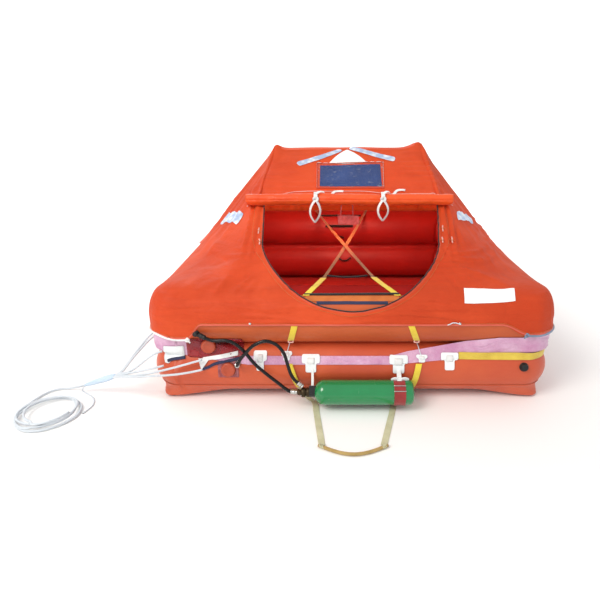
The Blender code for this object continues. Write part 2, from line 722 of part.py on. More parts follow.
def roof_pieces():
    slope = math.atan(RIDGE_SLOPE)
    up = Vector((0, -math.sin(slope), math.cos(slope)))
    # The door flap, rolled up and tied above the opening
    roll_z = roof_z(ROLL_Y) + (ROLL_R + 0.0008) / math.cos(slope)
    rows = []
    ends = [(0.0, 0.30), (0.010, 0.75), (0.028, 1.0)]
    stops = [(-ROLL_HALF + a, s) for a, s in ends]
    stops += [(x, 1.0) for x in (-0.22, 0.0, 0.22)]
    stops += [(ROLL_HALF - a, s) for a, s in ends[::-1]]
    for x, s in stops:
        rows.append([(x, ROLL_Y + ROLL_R * s * math.cos(2 * math.pi * k / 20),
                      roll_z + ROLL_R * s * math.sin(2 * math.pi * k / 20)) for k in range(20)])
    grid_solid("door_roll", rows, (0.85, 0.13, 0.03), roughness=0.5)
    # Tape ties: a flat loop over the roll that hangs in front of it
    for name, x in (("door_tie_left", -0.153), ("door_tie_right", 0.150)):
        stations = []
        for deg in (112, 135, 160, 185, 210):
            a = math.radians(deg)
            n = Vector((0, math.cos(a), math.sin(a)))
            c = Vector((x, ROLL_Y, roll_z)) + n * (ROLL_R + 0.0022)
            stations.append((c, (0.010, 0, 0), n * 0.0006))
        end = stations[-1][0]
        for drop in (0.022, 0.045, 0.068):
            stations.append(((x, end.y - 0.0006, end.z - drop), (0.010, 0, 0), (0, -0.0006, 0)))
        strip_solid(name, stations, (0.92, 0.93, 0.93), roughness=0.7)
    # Blank sign panel in its pocket on the roof
    stations = []
    for y in (SIGN_FRONT, SIGN_BACK):
        center = Vector(((SIGN_LEFT + SIGN_RIGHT) / 2, y, roof_z(y))) + up * (0.0006 + SIGN_THICK / 2)
        stations.append((center, ((SIGN_RIGHT - SIGN_LEFT) / 2, 0, 0), up * SIGN_THICK / 2))
    strip_solid("sign_panel", stations, (0.035, 0.085, 0.27), roughness=0.35)
    # Lookout port in the rear panel: a short gathered sleeve, tied shut
    rows = []
    center = Vector((0, 0.40, roof_z(0.40)))
    out = Vector((0, math.sin(slope), math.cos(slope)))
    across = Vector((0, math.cos(slope), -math.sin(slope)))
    # (height over the panel, radius): wide at its seam, tied shut near the end
    for lift, radius in ((0.0006, 0.125), (0.016, 0.118), (0.045, 0.075),
                         (0.075, 0.034), (0.100, 0.028), (0.125, 0.045)):
        rows.append([center + out * lift + Vector((1, 0, 0)) * radius * math.cos(2 * math.pi * k / 20)
                     + across * radius * math.sin(2 * math.pi * k / 20) for k in range(20)])
    grid_solid("lookout_sleeve", rows, (0.80, 0.11, 0.03), roughness=0.6)


def arch():
    # Legs and beam, mitred at the two horns, with flat feet on the side tubes
    sides = 20
    lean = Vector((ARCH_CORNER_X - ARCH_FOOT_X, 0, ARCH_TOP_Z - ARCH_FOOT_Z))
    leg = lean.normalized()
    rows = []
    circle = [(ARCH_R * math.cos(2 * math.pi * k / sides), ARCH_R * math.sin(2 * math.pi * k / sides))
              for k in range(sides)]
    for sign in (1, -1):
        # Points of the leg's section slide along the leg to the foot plane and to the mitre plane
        out = Vector((leg.z, 0, -leg.x)) if sign == 1 else Vector((-leg.z, 0, -leg.x))
        direction = Vector((leg.x * sign, 0, leg.z))
        foot, horn = [], []
        mitre = (direction + Vector((-sign, 0, 0))).normalized()
        corner = Vector((ARCH_CORNER_X * sign, 0, ARCH_TOP_Z))
        for u, v in circle:
            p = corner + out * u + Vector((0, v, 0))
            foot.append(p - direction * ((p.z - ARCH_FOOT_Z) / direction.z))
            horn.append(p - direction * ((p - corner).dot(mitre) / direction.dot(mitre)))
        rows += [foot, horn] if sign == 1 else [horn, foot]
    return grid_solid("arch_tube", rows, (0.75, 0.16, 0.05), roughness=0.5)


def disc_on_front(name, x, z, radius, thick, seat, color, sides=20, **look):
    # A round boss or cap square to the tube's face
    center_z = LOWER_Z if z < CONTACT_Z else UPPER_Z
    a = math.asin((z - center_z) / (seat - AXIS_HALF)) if seat else 0.0
    normal = Vector((0, -math.cos(a), math.sin(a)))
    rise = Vector((0, math.sin(a), math.cos(a)))
    base = Vector((x, -AXIS_HALF, center_z)) + normal * (seat - AXIS_HALF)
    rows = []
    for lift, share in ((0.0, 1.0), (0.6, 1.0), (0.9, 0.9), (1.0, 0.72)):
        c = base + normal * thick * lift
        rows.append([c + Vector((1, 0, 0)) * radius * share * math.cos(2 * math.pi * k / sides)
                     + rise * radius * share * math.sin(2 * math.pi * k / sides) for k in range(sides)])
    return grid_solid(name, rows, color, **look)


def valves():
    red = (0.52, 0.04, 0.02)
    # The caps' rims stand clear of the tube's curve, their middles touch it
    black = (0.02, 0.02, 0.022)
    seat = HULL_HALF + 0.0005
    disc_on_front("valve_cap_lower", -0.499, 0.150, 0.030, 0.012, seat, red, roughness=0.4)
    disc_on_front("topup_valve", 0.697, 0.160, 0.0185, 0.016, seat, black, roughness=0.5)
    disc_on_front("hose_boss_upper", -0.618, 0.312, 0.012, 0.014, seat, black, roughness=0.5)
    # The cap on the cover and the boss on the band stand square to the front
    # name, x, z, radius, thickness, radius of what lies below, color
    table = [("valve_cap_upper", -0.576, 0.246, 0.030, 0.0125, PATCH_IN + PATCH_THICK, red),
             ("hose_boss_lower", -0.459, 0.176, 0.010, 0.0120, SKIN_OUT, (0.7, 0.7, 0.68))]
    for name, x, z, radius, thick, below, color in table:
        spots = [(x + radius * s * math.cos(a / 2), z + radius * s * math.sin(a / 2))
                 for s in (0.5, 1.0) for a in range(13)]
        half = GAP + max(skin_half(u, -HULL_HALF, v, below, TUBE_R) for u, v in spots)
        rows = []
        for lift, share in ((0.0, 1.0), (0.65, 1.0), (0.88, 0.9), (1.0, 0.7)):
            rows.append([(x + radius * share * math.cos(2 * math.pi * k / 20), -half - lift * thick,
                          z + radius * share * math.sin(2 * math.pi * k / 20)) for k in range(20)])
        grid_solid(name, rows, color, roughness=0.4)


def inner_straps():
    orange = (0.78, 0.42, 0.05)
    top = UPPER_Z + TUBE_R + 0.0016
    # name, front x, rear x, sag in the middle
    for name, x0, x1, sag in (("inner_strap_a", -0.180, 0.135, 0.018),
                              ("inner_strap_b", 0.172, -0.172, 0.008)):
        stations = []
        for y in (-0.790, -0.765, AXIS_HALF * -1, -0.5, -0.25, 0.0, 0.25, 0.5, AXIS_HALF, 0.765):
            t = (y + 0.79) / 1.55
            beyond = max(0.0, abs(y) - AXIS_HALF)
            z = top - sag * (1 - (y / AXIS_HALF) ** 2) if abs(y) < AXIS_HALF else \
                UPPER_Z + math.sqrt((TUBE_R + 0.0016) ** 2 - beyond ** 2)
            stations.append(((lerp(x0, x1, t), y, z), (0.0135, 0, 0), (0, 0, 0.0008)))
        strip_solid(name, stations, orange, roughness=0.7)


# Cords
def smooth_route(points, spacing):
    # A Catmull-Rom curve through the route's own points, read at even steps
    p = [Vector(q) for q in points]
    p = [2 * p[0] - p[1]] + p + [2 * p[-1] - p[-2]]
    fine = []
    for a, b, c, d in zip(p, p[1:], p[2:], p[3:]):
        for k in range(24):
            t = k / 24
            fine.append(0.5 * (2 * b + (c - a) * t + (2 * a - 5 * b + 4 * c - d) * t * t
                               + (3 * b - a - 3 * c + d) * t ** 3))
    fine.append(p[-2])
    total = sum((b - a).length for a, b in zip(fine, fine[1:]))
    count = max(4, round(total / spacing))
    result, walked, target = [fine[0]], 0.0, total / count
    for a, b in zip(fine, fine[1:]):
        step = (b - a).length
        while step > 0 and walked + step >= target - 1e-9 and len(result) < count:
            result.append(a.lerp(b, (target - walked) / step))
            target += total / count
        walked += step
    result.append(fine[-1])
    return result


def cord(name, route, diameter, color, detail=2):
    path = smooth_route(route, diameter * 2.4)
    data = bpy.data.curves.new(name, "CURVE")
    data.dimensions = "3D"
    data.bevel_depth = diameter / 2
    data.bevel_resolution = detail
    data.use_fill_caps = True
    spline = data.splines.new("POLY")
    spline.points.add(len(path) - 1)
    for point, place in zip(spline.points, path):
        point.co = (*place, 1.0)
    data.materials.append(finish(name, color, 0.6))
    item = bpy.data.objects.new(name, data)
    bpy.context.scene.collection.objects.link(item)
    return item


HOSE_UPPER = [(-0.6050, -0.8590, 0.311), (-0.5800, -0.8640, 0.299), (-0.5470, -0.8680, 0.289),
              (-0.5130, -0.8700, 0.291), (-0.4800, -0.8720, 0.288), (-0.4500, -0.8740, 0.270),
              (-0.4210, -0.8740, 0.238), (-0.3880, -0.8740, 0.190), (-0.3380, -0.8760, 0.141),
              (-0.2900, -0.8820, 0.102), (-0.2600, -0.8900, 0.0805), (-0.2410, -0.8942, 0.0732),
              (-0.2194, -0.8945, 0.0725)]
HOSE_LOWER = [(-0.4590, -0.8650, 0.1770), (-0.4588, -0.8730, 0.1785), (-0.4520, -0.8835, 0.195),
              (-0.4380, -0.8900, 0.221),
              (-0.4160, -0.8945, 0.249), (-0.3850, -0.8960, 0.281), (-0.3400, -0.8950, 0.300),
              (-0.2990, -0.8930, 0.286), (-0.2700, -0.8920, 0.250), (-0.2560, -0.8920, 0.203),
              (-0.2450, -0.8930, 0.160), (-0.2300, -0.8945, 0.1310), (-0.2120, -0.8945, 0.1130),
              (-0.1975, -0.8945, 0.0985)]
BRIDLE_CORNER = [(-0.8385, -0.6900, 0.236), (-0.8500, -0.6960, 0.228), (-0.8680, -0.7080, 0.212),
                 (-0.8960, -0.7340, 0.182), (-0.9200, -0.7640, 0.155), (-0.9380, -0.7920, 0.1320),
                 (-0.9520, -0.8100, 0.1175), (-0.9664, -0.8168, 0.1092)]
BRIDLE_PATCH = [(-0.7480, -0.8506, 0.1735), (-0.7650, -0.8560, 0.1720), (-0.8070, -0.8680, 0.166),
                (-0.8500, -0.8590, 0.152), (-0.9000, -0.8450, 0.135), (-0.9400, -0.8342, 0.1210),
                (-0.9711, -0.8257, 0.1084)]
BRIDLE_COVER = [(-0.4920, -0.8415, 0.206), (-0.5200, -0.8480, 0.200), (-0.5600, -0.8540, 0.188),
                (-0.6100, -0.8620, 0.176), (-0.7000, -0.8760, 0.160), (-0.7900, -0.8830, 0.148),
                (-0.8600, -0.8750, 0.135), (-0.9200, -0.8560, 0.122), (-0.9560, -0.8405, 0.1140),
                (-0.9736, -0.8352, 0.1086)]
SPLICE_START = (-0.9720, -0.8255, 0.1080)
SPLICE_END = (-1.1200, -0.7850, 0.0420)
PAINTER_LEAD = [(-1.1206, -0.7848, 0.0417), (-1.1450, -0.7785, 0.0315), (-1.1780, -0.7690, 0.0200),
                (-1.2100, -0.7600, 0.0095), (-1.2400, -0.7560, 0.0046), (-1.2720, -0.7700, 0.0043),
                (-1.2960, -0.8000, 0.0043), (-1.3120, -0.8380, 0.0043), (-1.3222, -0.8773, 0.0043)]
PAINTER_TAIL = [(-1.1231, -0.7905, 0.0391), (-1.1350, -0.7900, 0.0260), (-1.1400, -0.7850, 0.0120),
                (-1.1330, -0.7840, 0.0040), (-1.1120, -0.7980, 0.0028), (-1.0850, -0.8200, 0.0028),
                (-1.0650, -0.8500, 0.0028), (-1.0580, -0.8850, 0.0028), (-1.0640, -0.9150, 0.0028),
                (-1.0726, -0.9400, 0.0028)]


def cords():
    white, black = (0.80, 0.86, 0.90), (0.015, 0.015, 0.018)
    cord("hose_upper", HOSE_UPPER, HOSE_D, black, detail=3)
    cord("hose_lower", HOSE_LOWER, HOSE_D, black, detail=3)
    cord("bridle_corner", BRIDLE_CORNER, ROPE_D, white)
    cord("bridle_patch", BRIDLE_PATCH, ROPE_D, white)
    cord("bridle_cover", BRIDLE_COVER, ROPE_D, white)
    cord("painter_lead", PAINTER_LEAD, ROPE_D, white)
    cord("painter_tail", PAINTER_TAIL, TAIL_D, white)
    # The splice gathers the legs in one soft bulge
    start, end = Vector(SPLICE_START), Vector(SPLICE_END)
    along = (end - start).normalized()
    side = along.cross(Vector((0, 0, 1))).normalized()
    rise = side.cross(along)
    rows = []
    for t, width, height in ((0, 0.0150, 0.0070), (0.12, 0.0190, 0.0120), (0.35, 0.0185, 0.0130),
                             (0.70, 0.0140, 0.0110), (0.92, 0.0120, 0.0080), (1, 0.0105, 0.0060)):
        c = start.lerp(end, t)
        rows.append([c + side * width * math.cos(2 * math.pi * k / 14)
                     + rise * height * math.sin(2 * math.pi * k / 14) for k in range(14)])
    grid_solid("rope_splice", rows, white, roughness=0.7)
    # The painter's turns, as one ring
    rows = []
    for k in range(32):
        a = 2 * math.pi * k / 32
        ring = []
        for r, z in ((COIL_IN, 0.0), (COIL_OUT, 0.0), (COIL_OUT, COIL_H * 0.6), (COIL_OUT - 0.008, COIL_H),
                     (COIL_IN + 0.008, COIL_H), (COIL_IN, COIL_H * 0.6)):
            ring.append((COIL_X + r * math.cos(a), COIL_Y + r * math.sin(a), z))
        rows.append(ring)
    grid_solid("painter_coil", rows, white, close_rows=True, roughness=0.7)


def build():
    clear_scene()
    floor_sheet()
    floor_wrap()
    tube_ring("lower_tube", LOWER_Z, (0.60, 0.125, 0.030))
    tube_ring("upper_tube", UPPER_Z, (0.60, 0.125, 0.030))
    fascia_band()
    lifeline()
    patches()
    boarding_straps()
    stirrup()
    gas_cylinder()
    arch()
    canopy()
    roof_pieces()
    valves()
    inner_straps()
    cords()


build()
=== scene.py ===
# Four-person inflatable life raft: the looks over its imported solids.
# Metres throughout, +Z up, the door and the gas cylinder face -Y.
import math

import bmesh
import bpy
import numpy as np
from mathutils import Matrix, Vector, noise
from mathutils.bvhtree import BVHTree


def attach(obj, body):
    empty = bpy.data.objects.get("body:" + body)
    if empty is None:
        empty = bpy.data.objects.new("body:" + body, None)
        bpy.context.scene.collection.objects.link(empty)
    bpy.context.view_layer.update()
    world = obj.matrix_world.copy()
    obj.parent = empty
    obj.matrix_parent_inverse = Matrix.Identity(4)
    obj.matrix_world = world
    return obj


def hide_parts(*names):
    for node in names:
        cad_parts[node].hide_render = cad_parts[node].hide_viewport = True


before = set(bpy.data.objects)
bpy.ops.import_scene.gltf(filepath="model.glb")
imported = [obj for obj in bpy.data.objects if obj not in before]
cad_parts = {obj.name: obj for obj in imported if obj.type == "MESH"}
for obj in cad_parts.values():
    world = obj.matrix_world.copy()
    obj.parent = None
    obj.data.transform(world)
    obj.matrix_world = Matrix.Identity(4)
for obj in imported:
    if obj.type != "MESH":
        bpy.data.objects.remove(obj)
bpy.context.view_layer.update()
print("loaded the packed raft,", len(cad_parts), "nodes")

hull = {
    "half": 0.850,  # over the tubes, before the canopy's hem
    "tubeR": 0.115,
    "lowerZ": 0.130,
    "upperZ": 0.3475,
    "cornerOuter": 0.116,  # plan radius of the corners, outside and inside
    "cornerInner": 0.020,
    "narrow": 0.0280,  # how much narrower in x the hull is drawn than the solids
}
axisHalf = hull["half"] - hull["tubeR"]
contactZ = (hull["lowerZ"] + hull["upperZ"]) / 2


# Small tools
def toLinear(hexCode):
    shares = [int(hexCode[i : i + 2], 16) / 255 for i in (1, 3, 5)]
    return [s / 12.92 if s <= 0.04045 else ((s + 0.055) / 1.055) ** 2.4 for s in shares] + [1.0]


def addNode(tree, kind, settings=None, links=None):
    made = tree.nodes.new("ShaderNode" + kind)
    for key, value in (settings or {}).items():
        if isinstance(key, str) and hasattr(made, key):
            setattr(made, key, value)
        else:
            made.inputs[key].default_value = value
    for key, source in (links or {}).items():
        tree.links.new(source, made.inputs[key])
    return made


def smoothStep(low, high, value):
    t = min(1.0, max(0.0, (value - low) / (high - low)))
    return t * t * (3 - 2 * t)


def lerp(a, b, t):
    return a + (b - a) * t


def bump01(value, middle, width):
    return math.exp(-(((value - middle) / width) ** 2))


def noiseAt(x, y, z):
    return noise.noise(Vector((x, y, z)))


def ridged(value):
    # Noise folded over: sharp crests with soft valleys
    return 1 - 2 * abs(value)


acrossStrap = (-1, -0.9, -0.45, 0, 0.45, 0.9, 1)  # columns of a strap's mesh, in half widths
acrossTape = (-1, -0.9, 0, 0.9, 1)


def place(piece, material, replaced=(), thick=0.0, side=0.0):
    # Every piece rides on the one body, takes its finish and may stand for CAD nodes;
    # side is where the thickness goes: 0 to both sides of the mesh, -1 behind it
    if thick:
        solid = piece.modifiers.new("solidify", "SOLIDIFY")
        solid.thickness, solid.offset = thick, side
    piece.data.shade_smooth()
    piece.data.materials.clear()
    piece.data.materials.append(material)
    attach(piece, "root")
    if replaced:
        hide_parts(*replaced)
    return piece


def pieceFrom(mesh):
    piece = bpy.data.objects.new(mesh.name, mesh)
    bpy.context.scene.collection.objects.link(piece)
    return piece


def gridMesh(name, rows, closeAcross=False, closeAlong=False, caps=False):
    # rows[along][across]; the UVs are metres of cloth, so that weaves keep their thread pitch
    points = np.array([[tuple(p) for p in row] for row in rows], float)
    along, across = points.shape[:2]
    spanU = np.linalg.norm(np.roll(points, -1, 1) - points, axis=2).mean(0)
    spanV = np.linalg.norm(np.roll(points, -1, 0) - points, axis=2).mean(1)
    uAt = np.concatenate([[0], np.cumsum(spanU)])
    vAt = np.concatenate([[0], np.cumsum(spanV)])
    faces, uvs = [], []
    for i in range(along if closeAlong else along - 1):
        for j in range(across if closeAcross else across - 1):
            i2, j2 = (i + 1) % along, (j + 1) % across
            faces.append((i * across + j, i * across + j2, i2 * across + j2, i2 * across + j))
            uvs += [(uAt[j], vAt[i]), (uAt[j + 1], vAt[i]), (uAt[j + 1], vAt[i + 1]), (uAt[j], vAt[i + 1])]
    if caps:
        faces.append(tuple(range(across))[::-1])
        faces.append(tuple(range((along - 1) * across, along * across)))
        uvs += [(uAt[j], 0.0) for j in range(across)] * 2
    mesh = bpy.data.meshes.new(name)
    mesh.from_pydata([tuple(p) for p in points.reshape(-1, 3)], [], faces)
    layer = mesh.uv_layers.new(name="cloth")
    layer.data.foreach_set("uv", np.array(uvs, float).ravel())
    return pieceFrom(mesh)


def faceOut(piece):
    work = bmesh.new()
    work.from_mesh(piece.data)
    bmesh.ops.recalc_face_normals(work, faces=work.faces)
    work.to_mesh(piece.data)
    work.free()
    return piece


def treeOf(*pieces):
    # One ray-casting tree over several pieces as they are now
    points, faces = [], []
    for piece in pieces:
        start = len(points)
        points += [v.co.copy() for v in piece.data.vertices]
        faces += [tuple(i + start for i in p.vertices) for p in piece.data.polygons]
    return BVHTree.FromPolygons(points, faces)


def smoothRoute(points, spacing):
    # The same Catmull-Rom reading of a route as the solids have
    p = [Vector(q) for q in points]
    p = [2 * p[0] - p[1]] + p + [2 * p[-1] - p[-2]]
    fine = []
    for a, b, c, d in zip(p, p[1:], p[2:], p[3:]):
        for k in range(24):
            t = k / 24
            fine.append(0.5 * (2 * b + (c - a) * t + (2 * a - 5 * b + 4 * c - d) * t * t
                               + (3 * b - a - 3 * c + d) * t ** 3))
    fine.append(p[-2])
    return evenSteps(fine, spacing)


def alongAt(path, k):
    return path[min(k + 1, len(path) - 1)] - path[max(k - 1, 0)]


def inwardAt(before, after):
    # Level normal into the raft, between two points of a ring that runs anticlockwise
    tangent = Vector((after[0] - before[0], after[1] - before[1], 0)).normalized()
    return Vector((-tangent.y, tangent.x, 0))


def evenSteps(path, spacing):
    lengths = np.cumsum([0.0] + [(b - a).length for a, b in zip(path, path[1:])])
    count = max(3, round(lengths[-1] / spacing))
    marks = np.linspace(0, lengths[-1], count + 1)
    coords = np.array([tuple(p) for p in path])
    return [Vector(q) for q in np.stack([np.interp(marks, lengths, coords[:, k]) for k in range(3)], 1)]


def pathLength(path):
    return sum((b - a).length for a, b in zip(path, path[1:]))


def framesAlong(path):
    # Tangent, side and normal at each point, carried along without twist
    tangents = [alongAt(path, k).normalized() for k in range(len(path))]
    side = tangents[0].cross(Vector((0, 0, 1)))
    if side.length < 1e-4:
        side = tangents[0].cross(Vector((0, 1, 0)))
    side.normalize()
    frames = []
    for t in tangents:
        side = (side - t * side.dot(t)).normalized()
        frames.append((t, side, side.cross(t)))
    return frames


def sweep(name, path, section, caps=True, scaleAt=None):
    # section: list of (side, normal) offsets; scaleAt(share) may swell or pinch it
    rows = []
    for i, (point, (_, side, normal)) in enumerate(zip(path, framesAlong(path))):
        grow = scaleAt(i / (len(path) - 1)) if scaleAt else 1.0
        rows.append([point + side * (u * grow) + normal * (v * grow) for u, v in section])
    return faceOut(gridMesh(name, rows, closeAcross=True, caps=caps))


def circleSection(radius, sides):
    return [(radius * math.cos(2 * math.pi * k / sides), radius * math.sin(2 * math.pi * k / sides))
            for k in range(sides)]


def flatSection(wide, high, sides):
    return [(wide * u, high * v) for u, v in circleSection(1.0, sides)]


def roundLine(name, path, radius, sides, material, slotName, **more):
    # A plain round line along a path
    return place(sweep(name, path, circleSection(radius, sides), **more), material)


def lathe(name, profile, origin, axis, sides=48, ribs=0):
    # profile: (distance along the axis, radius, depth of its ribs)
    axis = Vector(axis).normalized()
    side = axis.orthogonal().normalized()
    other = axis.cross(side)
    rows = []
    for along, radius, *rib in profile:
        centre = Vector(origin) + axis * along
        row = []
        for k in range(sides):
            a = 2 * math.pi * k / sides
            r = radius - (rib[0] * (0.5 - 0.5 * math.cos(ribs * a)) if rib else 0.0)
            row.append(centre + side * (r * math.cos(a)) + other * (r * math.sin(a)))
        rows.append(row)
    return faceOut(gridMesh(name, rows, closeAcross=True, caps=True))


def joined(name, parts):
    # Several meshes become one piece; UVs and slots go along
    with bpy.context.temp_override(active_object=parts[0], selected_editable_objects=parts):
        bpy.ops.object.join()
    parts[0].name = name
    parts[0].data.name = name
    return parts[0]


# Camera, light and floor
shot = {
    "place": (-0.081, -2.733, 1.202),
    "pitchDeg": 20.0,  # looking down at the raft
    "lensMm": 31.56,
    "shiftX": -0.0527,
    "shiftY": -0.0257,
}


def makeCamera():
    data = bpy.data.cameras.new("camera")
    data.sensor_width = 36.0
    data.lens = shot["lensMm"]
    data.shift_x = shot["shiftX"]
    data.shift_y = shot["shiftY"]
    camera = bpy.data.objects.new("camera", data)
    camera.location = shot["place"]
    camera.rotation_euler = (math.radians(90 - shot["pitchDeg"]), 0, 0)
    bpy.context.scene.collection.objects.link(camera)
    bpy.context.scene.camera = camera


light = {
    "world": 0.80,
    # name: (place, aimed at, size in metres, watts, colour)
    "lamps": {
        "key_softbox": ((-2.3, -2.9, 3.3), (0, -0.2, 0.4), 2.2, 112.0, "#FFFAF3"),
        "fill_softbox": ((3.0, -2.2, 1.8), (0, 0, 0.4), 2.6, 7.0, "#F3F7FF"),
        "back_softbox": ((-1.8, 3.0, 2.9), (0, 0, 0.5), 2.4, 34.0, "#FFFFFF"),
        "backdrop_softbox": ((-1.2, 3.4, 5.6), (0, 8.2, 2.2), 4.0, 330.0, "#FFFFFF"),
        # Daylight that the thin roof lets through, reddened by the cloth
        "cloth_glow": ((0, 0.02, 0.81), (0, 0.30, 0.20), 0.26, 6.6, "#FFB09A"),
    },
    "floorColor": "#F6F6F4",
}


def makeLight():
    scene = bpy.context.scene
    scene.view_settings.view_transform = "Standard"
    scene.view_settings.look = "None"
    world = bpy.data.worlds.new("studio")
    world.use_nodes = True
    world.node_tree.nodes["Background"].inputs["Color"].default_value = (1, 1, 1, 1)
    world.node_tree.nodes["Background"].inputs["Strength"].default_value = light["world"]
    scene.world = world
    for name, (spot, aim, size, watts, color) in light["lamps"].items():
        data = bpy.data.lights.new(name, "AREA")
        data.shape = "DISK"
        data.size = size
        data.energy = watts
        data.color = toLinear(color)[:3]
        lamp = bpy.data.objects.new(name, data)
        lamp.location = spot
        lamp.rotation_euler = (Vector(aim) - Vector(spot)).to_track_quat("-Z", "Y").to_euler()
        scene.collection.objects.link(lamp)


def makeFloor():
    # A sweep: flat floor that turns up into a wall on every side but the camera's
    rows = []
    span, wall, bend = 9.0, 7.0, 2.5
    profile = [(-0.001, t) for t in np.linspace(-4.5, span - bend, 12)]
    for k in range(1, 13):
        a = math.pi / 2 * k / 12
        profile.append((-0.001 + bend * (1 - math.cos(a)), span - bend + bend * math.sin(a)))
    profile.append((wall, span))
    for x in np.linspace(-14, 14, 9):
        rows.append([(x, y, z) for z, y in profile])
    floor = gridMesh("studio_floor", rows)
    floor.data.shade_smooth()
    paper = bpy.data.materials.new("white_background_paper_matt")
    paper.use_nodes = True
    shader = paper.node_tree.nodes["Principled BSDF"]
    # Faint mottling keeps the paper from looking like an empty page
    shade = addNode(paper.node_tree, "TexNoise", {"Scale": 0.7, "Detail": 3.0})
    tone = addNode(paper.node_tree, "Mix", {"data_type": "RGBA", 6: toLinear(light["floorColor"]),
                                                     7: toLinear("#FFFFFF")}, {0: shade.outputs["Fac"]})
    paper.node_tree.links.new(tone.outputs[2], shader.inputs["Base Color"])
    shader.inputs["Roughness"].default_value = 0.9
    floor.data.materials.append(paper)


# Materials
def surface(name, look):
    # A Principled material; look sets sockets by name
    made = bpy.data.materials.new(name)
    made.use_nodes = True
    shader = made.node_tree.nodes["Principled BSDF"]
    for key, value in look.items():
        shader.inputs[key].default_value = toLinear(value) if isinstance(value, str) else value
    return made, made.node_tree, shader


